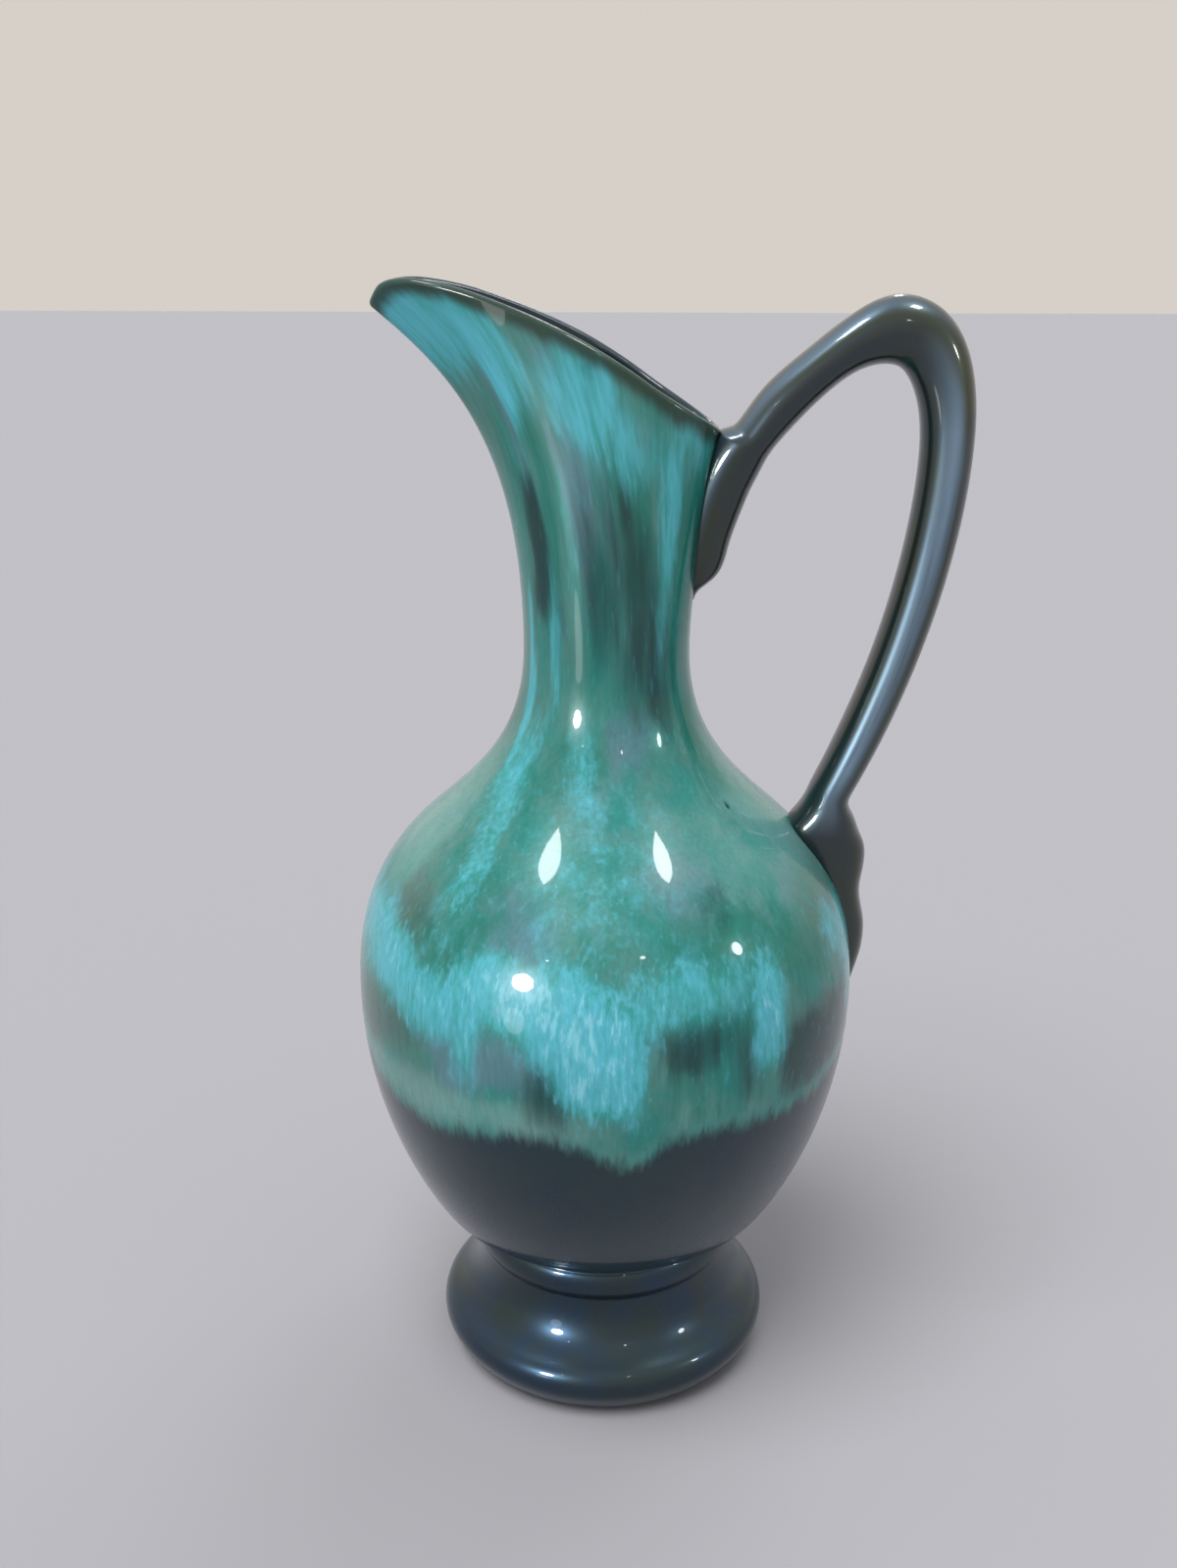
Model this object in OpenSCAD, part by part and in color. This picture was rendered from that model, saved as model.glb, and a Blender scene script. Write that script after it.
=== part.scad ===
// Footed pottery pitcher: a round belly on a flared pedestal foot, a narrow neck
// that opens into a long pinched pouring spout, and a high looped strap handle.
// It stands on the foot ring with the spout towards -X and the handle towards +X.

/* [Foot] */
// Widest diameter of the foot
foot_d = 95.6; // [92:0.2:102]
// Height of the foot, from the table to the collar
foot_h = 33; // [29:0.5:38]
// Diameter of the foot where the collar sits on it
foot_top_d = 72; // [69:0.5:76]
// Height of the foot's widest line above the table
foot_lip_h = 10; // [8:0.5:12]
// Outer diameter of the ring that touches the table
foot_ring_d = 80; // [76:0.5:86]
// Width of the ring that touches the table
foot_ring_w = 5; // [4:0.5:7]
// Depth of the hollow inside the ring
foot_recess = 3.5; // [2.5:0.5:5]
// Thickness of the floor of the pitcher
floor_t = 5; // [4:0.5:7]

/* [Collar] */
// Height of the collar between the foot and the belly
collar_h = 14.5; // [12:0.5:18]
// Height of the lower, fuller bead of the collar
collar_bead_h = 8.6; // [7:0.2:9.4]
// How far the two beads swell out of the collar
collar_swell = 1.9; // [1:0.1:2.6]
// Diameter of the hole through the collar
throat_d = 62; // [56:0.5:64]

/* [Belly] */
// Widest diameter of the belly
belly_d = 137.4; // [130:0.2:146]
// Height from the collar to the belly's widest line
belly_rise = 69.5; // [64:0.5:78]
// Diameter of the flat seat under the belly
belly_seat_d = 79; // [75:0.5:82]
// Diameter where the belly turns up from its flat underside
hip_d = 98.2; // [94:0.2:104]
// Height of that turn above the collar
hip_rise = 3.7; // [3:0.1:5]
// Height from the widest line to where the shoulder turns hollow
shoulder_rise = 47.5; // [43:0.5:54]
// Diameter where the shoulder turns hollow
shoulder_d = 98; // [92:0.2:104]
// Slope of the shoulder there, from the vertical
shoulder_lean = 48; // [42:1:54]
// Height from there to the narrowest line of the neck
throat_rise = 47.5; // [42:0.5:54]
// Thickness of the wall
wall_t = 4.6; // [3.6:0.2:5.4]

/* [Neck and spout] */
// Diameter of the neck at its narrowest line
neck_d = 43.9; // [40:0.2:50]
// Height from the narrowest line to the rim at the handle
back_rise = 55.6; // [50:0.2:60]
// Height from the narrowest line to the top of the pouring lip
lip_rise = 91.4; // [86:0.2:98]
// Distance from the middle of the neck to the rim at the handle
back_reach = 28.4; // [26:0.2:31]
// Distance from the middle of the neck to the tip of the spout
spout_reach = 58.6; // [52:0.2:64]
// Greatest width of the mouth, across its outer edges
mouth_w = 34; // [30:0.5:40]
// How far the tip of the spout leans out, from the vertical
spout_lean = 51; // [44:1:58]
// How far the rim leans out at the handle, from the vertical
back_lean = 9; // [4:1:14]
// Thickness of the rounded rim
rim_t = 3.2; // [2.4:0.2:4]

/* [Handle] */
// Distance from the middle of the pitcher to the middle of the handle's leg
handle_reach = 86.6; // [82:0.2:92]
// Height of the handle's crest above the rim at the handle, along its middle
crest_rise = 26; // [24:0.2:30]
// Width of the strap, front to back
strap_w = 16; // [14:0.5:18]
// Thickness of the strap where it leaves the rim
root_t = 12.6; // [11:0.2:14]
// Thickness of the strap on the rising arm
arm_t = 9.8; // [9:0.2:12]
// Thickness of the strap over the crest
crest_t = 15.8; // [13:0.2:17]
// Thickness of the strap down the leg
leg_t = 12.4; // [11:0.2:14]
// Thickness of the strap where it comes to the shoulder
heel_t = 11; // [10:0.2:12.4]
// Length of the tongue that is pressed down the neck
tongue_len = 38.5; // [34:0.5:43]
// Height that the tail runs down the belly
tail_len = 54.5; // [50:0.5:60]
// Gap that the joining slip fills between the handle and the wall
slip_gap = 0.2; // [0.1:0.05:0.3]

/* [Hidden] */

// Levels of the joints between the pieces
belly_z = foot_h + collar_h;
widest_z = belly_z + belly_rise;
turn_z = widest_z + shoulder_rise;
waist_z = turn_z + throat_rise;
back_z = waist_z + back_rise;

// Points along each curve of the outlines and around the round pieces
steps = 14;
round_steps = 144;
mouth_steps = 56;
strap_steps = 24;

// Point on a cubic curve with four control points
function curve(a, b, c, d, t) =
    pow(1 - t, 3) * a + 3 * t * pow(1 - t, 2) * b + 3 * t * t * (1 - t) * c + pow(t, 3) * d;

// Direction of the same curve
function curve_way(a, b, c, d, t) =
    pow(1 - t, 2) * (b - a) + 2 * t * (1 - t) * (c - b) + t * t * (d - c);

function curve_points(a, b, c, d, first = 0) =
    [for (i = [first : steps]) curve(a, b, c, d, i / steps)];

// Step of a given length that leans by an angle from the vertical
function lean_step(len, angle) = len * [sin(angle), cos(angle)];

function unit(v) = v / norm(v);

// Smooth value between the rows of a table of [place, value]
function row_slope(rows, i) =
    i == 0 ? (rows[1][1] - rows[0][1]) / (rows[1][0] - rows[0][0])
    : i == len(rows) - 1 ? (rows[i][1] - rows[i - 1][1]) / (rows[i][0] - rows[i - 1][0])
    : (rows[i + 1][1] - rows[i - 1][1]) / (rows[i + 1][0] - rows[i - 1][0]);

function row_at(rows, x, i = 0) =
    i < len(rows) - 2 && x > rows[i + 1][0] ? row_at(rows, x, i + 1) : i;

function smooth_value(rows, x) =
    let (i = row_at(rows, x),
         run = rows[i + 1][0] - rows[i][0],
         t = (x - rows[i][0]) / run)
    (1 + 2 * t) * pow(1 - t, 2) * rows[i][1] + t * t * (3 - 2 * t) * rows[i + 1][1]
    + t * pow(1 - t, 2) * run * row_slope(rows, i)
    - t * t * (1 - t) * run * row_slope(rows, i + 1);

// Outline moved sideways by a thickness, to the left of its own direction
function outline_way(pts, i) = unit(pts[min(i + 1, len(pts) - 1)] - pts[max(i - 1, 0)]);
function inset(pts, thick) =
    [for (i = [0 : len(pts) - 1])
        let (way = outline_way(pts, i)) pts[i] + thick * [-way[1], way[0]]];

// Solid from rings of points that close on themselves, capped at both ends
module skin(rings) {
    n = len(rings[0]);
    last = len(rings) - 1;
    polyhedron([for (ring = rings) each ring],
               concat([for (i = [0 : last - 1], j = [0 : n - 1])
                          let (k = (j + 1) % n, a = i * n + j, b = i * n + k, c = a + n, d = b + n)
                          each [[a, c, b], [b, c, d]]],
                      [[for (j = [0 : n - 1]) j]],
                      [[for (j = [n - 1 : -1 : 0]) last * n + j]]));
}

// Pedestal foot

foot_r = foot_d / 2;
foot_top_r = foot_top_d / 2;
foot_ring_r = foot_ring_d / 2;
foot_shoulder_shares = [0.3, 0.58];
foot_shoulder = [foot_r - foot_shoulder_shares[0] * foot_lip_h, foot_lip_h + foot_shoulder_shares[1] * foot_lip_h];
// Slope of the foot's upper side just above the rounded edge, from the vertical
foot_slope = -58;
foot_edge_shares = [0.24, 0.43];
foot_flare_shares = [0.65, 0.55];

foot_outline = concat(
    curve_points([foot_ring_r, 0],
                 [foot_ring_r + foot_edge_shares[0] * (foot_r - foot_ring_r), 0],
                 [foot_r, (1 - foot_edge_shares[1]) * foot_lip_h],
                 [foot_r, foot_lip_h]),
    curve_points([foot_r, foot_lip_h],
                 [foot_r, foot_lip_h + (foot_shoulder[1] - foot_lip_h) / 2],
                 foot_shoulder - lean_step((foot_shoulder[1] - foot_lip_h) / 3, foot_slope),
                 foot_shoulder, 1),
    curve_points(foot_shoulder,
                 foot_shoulder + lean_step(foot_flare_shares[0] * (foot_shoulder[0] - foot_top_r), foot_slope),
                 [foot_top_r, foot_h - foot_flare_shares[1] * (foot_h - foot_shoulder[1])],
                 [foot_top_r, foot_h], 1));

throat_r = throat_d / 2;
foot_floor_z = foot_recess + floor_t;
foot_well_r = foot_ring_r - floor_t;

module pedestal_foot() {
    ring_in = foot_ring_r - foot_ring_w;
    color([0.15, 0.22, 0.27])
    rotate_extrude($fn = round_steps)
    polygon(concat(
        [[0, foot_recess], [ring_in - foot_recess, foot_recess], [ring_in, 0]],
        foot_outline,
        curve_points([throat_r, foot_h],
                     [throat_r, foot_floor_z + floor_t],
                     [foot_well_r, foot_floor_z + floor_t],
                     [foot_well_r - floor_t / 2, foot_floor_z]),
        [[0, foot_floor_z]]));
}

// Collar of two beads

collar_r = foot_top_r;

function bead(low, high, full) =
    [for (i = [1 : steps - 1])
        [collar_r + full * sin(180 * i / steps), low + (high - low) * (1 - cos(180 * i / steps)) / 2]];

module collar_ring() {
    groove_z = foot_h + collar_bead_h;
    color([0.12, 0.19, 0.22])
    rotate_extrude($fn = round_steps)
    polygon(concat(
        [[throat_r, foot_h], [collar_r, foot_h]],
        bead(foot_h, groove_z, collar_swell),
        [[collar_r, groove_z]],
        bead(groove_z, belly_z, collar_swell),
        [[collar_r, belly_z], [throat_r, belly_z]]));
}

// Belly, shoulder and the foot of the neck

belly_r = belly_d / 2;
neck_r = neck_d / 2;
seat_r = belly_seat_d / 2;
turn = [shoulder_d / 2, turn_z];
hip = [hip_d / 2, belly_z + hip_rise];
// Slope of the belly at that turn, from the vertical
hip_lean = 40;
hip_shares = [0.6, 0.4, 0.045];
belly_share = 0.53;
shoulder_shares = [0.42, 0.43];
throat_shares = [0.345, 0.53];

belly_outline = concat(
    curve_points([seat_r, belly_z],
                 [seat_r + hip_shares[0] * (hip[0] - seat_r), belly_z],
                 hip - lean_step(hip_shares[1] * hip_rise, hip_lean),
                 hip),
    curve_points(hip,
                 hip + lean_step(hip_shares[2] * belly_rise, hip_lean),
                 [belly_r, widest_z - belly_share * belly_rise],
                 [belly_r, widest_z], 1),
    curve_points([belly_r, widest_z],
                 [belly_r, widest_z + shoulder_shares[0] * shoulder_rise],
                 turn - lean_step(shoulder_shares[1] * shoulder_rise, -shoulder_lean),
                 turn, 1),
    curve_points(turn,
                 turn + lean_step(throat_shares[0] * throat_rise, -shoulder_lean),
                 [neck_r, waist_z - throat_shares[1] * throat_rise],
                 [neck_r, waist_z], 1));

belly_inside = [for (p = inset(belly_outline, wall_t)) if (p[1] > belly_z + wall_t && p[1] < waist_z) p];

module belly_shell() {
    color([0.10, 0.45, 0.40])
    rotate_extrude($fn = round_steps)
    polygon(concat(
        belly_outline,
        [[neck_r - wall_t, waist_z]],
        [for (i = [len(belly_inside) - 1 : -1 : 0]) belly_inside[i]],
        [[throat_r, belly_z + wall_t], [throat_r, belly_z]]));
}

// Neck and spout: cubic curves run up from the round waist to a slanted,
// egg-shaped rim, and the wall closes over the rim in a half round

// Height of the rim from the handle to the tip, as shares of its whole rise
rim_shares = [[0, 0], [0.09, 0.14], [0.18, 0.28], [0.27, 0.43], [0.38, 0.59],
              [0.49, 0.72], [0.6, 0.83], [0.72, 0.93], [0.82, 0.985], [0.9, 1], [0.965, 0.955], [1, 0.84]];
// How much fuller the mouth is towards the handle
egg_share = 0.35;
egg_cos = (sqrt(1 + 8 * egg_share * egg_share) - 1) / (4 * egg_share);
egg_peak = sqrt(1 - egg_cos * egg_cos) * (1 + egg_share * egg_cos);
neck_low_shares = [0.3, 0.6];
neck_high_share = 0.3;

mouth_mid = (back_reach - spout_reach) / 2;
mouth_half = (back_reach + spout_reach) / 2;

function along_mouth(angle) = (1 - cos(angle)) / 2;

function rim_point(angle) =
    [mouth_mid + mouth_half * cos(angle),
     mouth_w / 2 * sin(angle) * (1 + egg_share * cos(angle)) / egg_peak,
     back_z + (lip_rise - back_rise) * smooth_value(rim_shares, along_mouth(angle))];

function rim_inward(angle) =
    unit([-mouth_w / 2 * (cos(angle) + egg_share * cos(2 * angle)) / egg_peak,
          -mouth_half * sin(angle), 0]);

function rim_up(angle) =
    let (lean = back_lean - (back_lean + spout_lean) * along_mouth(angle))
    [sin(lean), 0, cos(lean)];

function rim_across(angle) =
    let (up = rim_up(angle), inward = rim_inward(angle))
    unit(inward - (inward * up) * up);

// Point of the neck at an angle and a share of the way up, on the outer or inner side
function neck_point(angle, t, inner = 0) =
    let (top = rim_point(angle),
         rise = top[2] - waist_z,
         spoke = [cos(angle), sin(angle), 0],
         low = (neck_r - inner * wall_t) * spoke + [0, 0, waist_z],
         high = top + inner * rim_t * rim_across(angle),
         low_share = neck_low_shares[0]
                     + (neck_low_shares[1] - neck_low_shares[0]) * along_mouth(angle))
    curve(low, low + [0, 0, low_share * rise],
          high - neck_high_share * rise * rim_up(angle), high, t);

function lip_point(angle, turn_angle) =
    rim_point(angle) + rim_t / 2 * rim_across(angle)
    + rim_t / 2 * (sin(turn_angle) * rim_up(angle) - cos(turn_angle) * rim_across(angle));

module neck_and_spout() {
    lip_steps = 6;
    angles = [for (j = [0 : mouth_steps - 1]) 360 * j / mouth_steps];
    rings = concat(
        [for (i = [0 : steps]) [for (a = angles) neck_point(a, i / steps)]],
        [for (k = [1 : lip_steps - 1]) [for (a = angles) lip_point(a, 180 * k / lip_steps)]],
        [for (i = [steps : -1 : 0]) [for (a = angles) neck_point(a, i / steps, 1)]]);
    n = mouth_steps;
    rows = len(rings);
    color([0.16, 0.50, 0.47])
    polyhedron([for (ring = rings) each ring],
               [for (i = [0 : rows - 1], j = [0 : n - 1])
                   let (k = (j + 1) % n, i2 = (i + 1) % rows,
                        a = i * n + j, b = i * n + k, c = i2 * n + j, d = i2 * n + k)
                   each [[a, c, b], [b, c, d]]]);
}

// Handle: rounded sections along the middle line of the strap, between two
// ends that are pressed onto the neck and onto the shoulder

// Points of the middle line: its start at the rim, the top of the rising arm, the
// crest and the top of the leg, as shares of the way out and of the crest's rise,
// and its end over the shoulder, as shares of its own thickness
root_shares = [0.112, -0.06];
arm_shares = [0.496, 0.79];
crest_shares = [0.753, 1];
bend_shares = [1, 0.01];
heel_shares = [1.055, 0.6];
function handle_point(shares) =
    [back_reach + shares[0] * (handle_reach - back_reach), back_z + shares[1] * crest_rise];
root = handle_point(root_shares);
root_lean = 35;
arm_top = handle_point(arm_shares);
arm_lean = 50;
crest = handle_point(crest_shares);
bend = handle_point(bend_shares);
heel_lean = 28;
heel = [turn[0] + heel_shares[0] * heel_t, turn_z + heel_shares[1] * heel_t];
leg_shares = [0.34, 0.41, 0.27, 0.36];

// Squareness of the strap's section: 2 is an ellipse, more is squarer
section_power = 2.5;

function rounded(c) = (c < 0 ? -1 : 1) * pow(abs(c), 2 / section_power);

// Ring around a point of the middle line, square to a direction that leans by an angle
function section(middle, lean, thick, wide) =
    [for (j = [0 : strap_steps - 1])
        let (a = 360 * j / strap_steps,
             out = thick / 2 * rounded(cos(a)),
             side = wide / 2 * rounded(sin(a)))
        [middle[0] + out * cos(lean), side, middle[1] - out * sin(lean)]];

function lean_of(way) = atan2(way[0], way[1]);

function ease(t) = t * t * (3 - 2 * t);

// Sections along one stretch of the middle line; a power under 1 changes the
// thickness early on the way and a power over 1 changes it late
function stretch(a, b, c, d, thick_a, thick_b, power = 1, first = 1) =
    [for (i = [first : steps])
        let (t = i / steps)
        section(curve(a, b, c, d, t), lean_of(curve_way(a, b, c, d, t)),
                thick_a + (thick_b - thick_a) * ease(pow(t, power)), strap_w)];

module handle_strap() {
    arm = norm(arm_top - root);
    top = norm(crest - arm_top);
    fall = norm(bend - crest);
    leg = norm(heel - bend);
    color([0.17, 0.20, 0.20])
    skin(concat(
        stretch(root, root + lean_step(arm / 3, root_lean),
                arm_top - lean_step(arm / 3, arm_lean), arm_top, root_t, arm_t, 0.6, 0),
        stretch(arm_top, arm_top + lean_step(top / 3, arm_lean),
                crest - [top / 3, 0], crest, arm_t, crest_t, 1.3),
        stretch(crest, crest + [leg_shares[0] * fall, 0],
                bend + [0, leg_shares[1] * fall], bend, crest_t, leg_t),
        stretch(bend, bend - [0, leg_shares[2] * leg],
                heel + lean_step(leg_shares[3] * leg, heel_lean), heel, leg_t, heel_t)));
}

// Point kept outside the wall by the slip gap
function held_out(p, wall) =
    let (r = norm([p[0], p[1]]), least = wall + slip_gap)
    r >= least ? p : [p[0] * least / r, p[1] * least / r, p[2]];

// Section whose outer edge stands at a point, leaning like the section of a strap
function pressed_section(edge, lean, thick, wide) =
    section(edge - thick / 2 * [cos(lean), -sin(lean)], lean, thick, wide);

// Radius of the neck's outside at the height of a point, by closing in on it
function neck_radius(side, z, angle, t, rounds = 6) =
    let (p = neck_point(angle, t))
    rounds == 0 ? norm([p[0], p[1]])
    : neck_radius(side, z, angle + side - atan2(p[1], p[0]),
                  max(0, min(1, t + (z - p[2]) / (rim_point(angle)[2] - waist_z))), rounds - 1);

function neck_wall(p) =
    let (side = atan2(p[1], p[0])) neck_radius(side, p[2], side, (p[2] - waist_z) / back_rise);

// Tongue: its depth over the neck, its thickness and its width on the way down,
// as shares of the strap's own, and its rounded end
tongue_depth_shares = [[0.32, 0.8], [0.5, 0.69], [0.7, 0.59], [0.85, 0.55], [0.93, 0.5], [0.98, 0.35], [1, 0.14]];
tongue_thick_shares = [[0, 1], [0.15, 1.15], [0.5, 1.1], [0.8, 0.95], [0.93, 0.8], [0.98, 0.5], [1, 0.16]];
tongue_wide_shares = [[0, 1], [0.5, 0.85], [0.8, 0.72], [0.93, 0.6], [0.98, 0.4], [1, 0.14]];
tongue_rows = 18;

module neck_tongue() {
    edge = root + root_t / 2 * [cos(root_lean), -sin(root_lean)];
    low_z = back_z - tongue_len;
    depths = concat([[0, edge[0] - neck_wall([edge[0], 0, edge[1]])]],
                    [for (row = tongue_depth_shares) [row[0], root_t * row[1]]]);
    color([0.17, 0.20, 0.20])
    skin([for (i = [tongue_rows : -1 : 0])
        let (t = sin(90 * i / tongue_rows),
             z = edge[1] + (low_z - edge[1]) * t,
             x = neck_wall([edge[0], 0, z]) + smooth_value(depths, t))
        [for (p = pressed_section([x, z], root_lean * pow(1 - t, 2),
                                  root_t * smooth_value(tongue_thick_shares, t),
                                  strap_w * smooth_value(tongue_wide_shares, t)))
            i == 0 || p[2] > back_z ? p : held_out(p, neck_wall(p))]]);
}

// Tail: its depth over the wall, its thickness and its width on the way down,
// as shares of the strap's own; two soft swells that thin out on the belly
tail_depth_shares = [[0.06, 1.78], [0.14, 1.5], [0.22, 1.33], [0.27, 1.17], [0.35, 0.89], [0.45, 0.57],
                     [0.53, 0.48], [0.64, 0.46], [0.72, 0.4], [0.8, 0.32], [0.88, 0.2], [0.95, 0.1], [1, 0.02]];
tail_thick_shares = [[0, 1], [0.12, 1.6], [0.2, 2.1], [0.3, 1.9], [0.45, 1.3], [0.6, 1.1], [0.8, 0.8], [1, 0.2]];
tail_wide_shares = [[0, 1], [0.2, 1.1], [0.42, 0.95], [0.6, 0.92], [0.78, 0.72], [0.92, 0.42], [1, 0.14]];
tail_rows = 28;

// Radius of the belly's outside at a height
belly_table = [for (p = belly_outline) [p[1], p[0]]];
function belly_wall(z) = lookup(z, belly_table);

module shoulder_tail() {
    edge = heel + heel_t / 2 * [cos(heel_lean), -sin(heel_lean)];
    depths = concat([[0, edge[0] - belly_wall(edge[1])]],
                    [for (row = tail_depth_shares) [row[0], heel_t * row[1]]]);
    color([0.17, 0.20, 0.20])
    skin([for (i = [tail_rows : -1 : 0])
        let (t = i / tail_rows,
             z = edge[1] - tail_len * t,
             x = belly_wall(z) + smooth_value(depths, t))
        [for (p = pressed_section([x, z], heel_lean * pow(1 - t, 6),
                                  heel_t * smooth_value(tail_thick_shares, t),
                                  strap_w * smooth_value(tail_wide_shares, t)))
            held_out(p, belly_wall(p[2]))]]);
}

pedestal_foot();
collar_ring();
belly_shell();
neck_and_spout();
handle_strap();
neck_tongue();
shoulder_tail();
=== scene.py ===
# %% [markdown]
# # A glazed pottery pitcher
# The pitcher is a cast clay body on a flared foot, with a spout pinched out of
# its neck and a strap handle joined on with slip. It was dipped in a blue-black
# glaze, and a turquoise glaze was poured over the top, so it ran down in the kiln.
# This lesson builds each surface again from formulas, finer than the CAD frame,
# and then paints the run glaze with nodes.

import math

import bpy
import numpy as np
from mathutils import Matrix, Vector


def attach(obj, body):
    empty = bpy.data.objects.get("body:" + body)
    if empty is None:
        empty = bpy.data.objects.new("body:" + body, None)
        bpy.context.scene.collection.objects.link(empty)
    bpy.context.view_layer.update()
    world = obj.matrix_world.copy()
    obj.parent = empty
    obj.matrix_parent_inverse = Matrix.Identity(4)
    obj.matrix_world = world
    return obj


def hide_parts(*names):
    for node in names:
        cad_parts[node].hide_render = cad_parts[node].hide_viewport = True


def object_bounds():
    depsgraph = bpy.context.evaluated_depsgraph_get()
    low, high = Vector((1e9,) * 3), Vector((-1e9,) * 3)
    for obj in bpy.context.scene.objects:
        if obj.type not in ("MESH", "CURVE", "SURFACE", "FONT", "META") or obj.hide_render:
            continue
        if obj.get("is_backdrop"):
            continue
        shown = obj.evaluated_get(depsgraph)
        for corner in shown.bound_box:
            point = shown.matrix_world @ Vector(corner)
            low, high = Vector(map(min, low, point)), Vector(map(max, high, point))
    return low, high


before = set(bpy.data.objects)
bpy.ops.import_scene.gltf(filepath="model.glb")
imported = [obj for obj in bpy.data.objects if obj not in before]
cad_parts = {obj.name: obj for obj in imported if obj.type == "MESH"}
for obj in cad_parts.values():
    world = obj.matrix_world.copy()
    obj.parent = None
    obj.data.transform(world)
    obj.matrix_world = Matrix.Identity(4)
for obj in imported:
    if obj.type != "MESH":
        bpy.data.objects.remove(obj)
cad_low, cad_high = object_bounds()
MM = 0.001
print("frame nodes:", sorted(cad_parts))

# %% [markdown]
# ## Curves
# A potter draws the outline first. Each part of it is a cubic curve: two end
# points, and two handles that say in which direction the line leaves them.


# %% Curves in numpy
def cubic(a, b, c, d, steps):
    """Points of a cubic curve: a, b, c and d weighted by (1-t)^3, 3t(1-t)^2, 3t^2(1-t) and t^3."""
    t = np.linspace(0.0, 1.0, steps)[:, None]
    a, b, c, d = (np.asarray(p, float) for p in (a, b, c, d))
    return (1 - t) ** 3 * a + 3 * t * (1 - t) ** 2 * b + 3 * t * t * (1 - t) * c + t**3 * d


def leaning(length, degrees):
    """A step in the (r, z) plane of a given length that leans outwards by an angle from the vertical."""
    return length * np.array([math.sin(math.radians(degrees)), math.cos(math.radians(degrees))])


def joined(*lines):
    """One line from several, with the points that they share kept once."""
    return np.concatenate([lines[0]] + [line[1:] for line in lines[1:]])


def walked(line):
    """Length walked along a line up to each of its points, by the first two of its columns."""
    return np.concatenate([[0.0], np.cumsum(np.linalg.norm(np.diff(line[:, :2], axis=0), axis=1))])


def evenly(line, step):
    """The same line with its points a given step apart, found by walking along its length."""
    length = walked(line)
    count = max(int(round(length[-1] / step)) + 1, 3)
    places = np.linspace(0.0, length[-1], count)
    return np.stack([np.interp(places, length, line[:, k]) for k in range(line.shape[1])], -1)


def softened(line, reach):
    """Rounds the corners of an even line: each point becomes a bell-weighted mean of its neighbours."""
    step = np.linalg.norm(line[1] - line[0])
    half = max(int(3 * reach / step), 1)
    weights = np.exp(-0.5 * (np.arange(-half, half + 1) * step / reach) ** 2)
    weights /= weights.sum()
    padded = np.concatenate([2 * line[:1] - line[half:0:-1], line, 2 * line[-1:] - line[-2 : -half - 2 : -1]])
    return np.stack([np.convolve(padded[:, k], weights, "valid") for k in range(line.shape[1])], -1)


NEAR_END = 0.02


def firm_ends(rows):
    """Adds a row a fiftieth of a step from each end, so a sharp edge doesn't shade what is beside it."""
    first = (1 - NEAR_END) * rows[:1] + NEAR_END * rows[1:2]
    last = (1 - NEAR_END) * rows[-1:] + NEAR_END * rows[-2:-1]
    return np.concatenate([rows[:1], first, rows[1:-1], last, rows[-1:]])


def smooth_table(rows, x):
    """Value between rows of (place, value): a cubic with the mean slope of the neighbours at each row."""
    rows = np.asarray(rows, float)
    place, value = rows[:, 0], rows[:, 1]
    slope = np.empty(len(rows))
    slope[1:-1] = (value[2:] - value[:-2]) / (place[2:] - place[:-2])
    slope[0] = (value[1] - value[0]) / (place[1] - place[0])
    slope[-1] = (value[-1] - value[-2]) / (place[-1] - place[-2])
    i = np.clip(np.searchsorted(place, x, side="left") - 1, 0, len(rows) - 2)
    run = place[i + 1] - place[i]
    t = (x - place[i]) / run
    return (
        (1 + 2 * t) * (1 - t) ** 2 * value[i]
        + t * t * (3 - 2 * t) * value[i + 1]
        + t * (1 - t) ** 2 * run * slope[i]
        - t * t * (1 - t) * run * slope[i + 1]
    )


# %% [markdown]
# ## A mesh from a grid of points
# Every piece is a grid that wraps round: a turned outline, or a section carried
# along a path. One helper makes the faces, so that every piece is closed.


# %% Grid to mesh
def new_object(name, data):
    """New object in the scene."""
    made = bpy.data.objects.new(name, data)
    bpy.context.scene.collection.objects.link(made)
    return made


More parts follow.
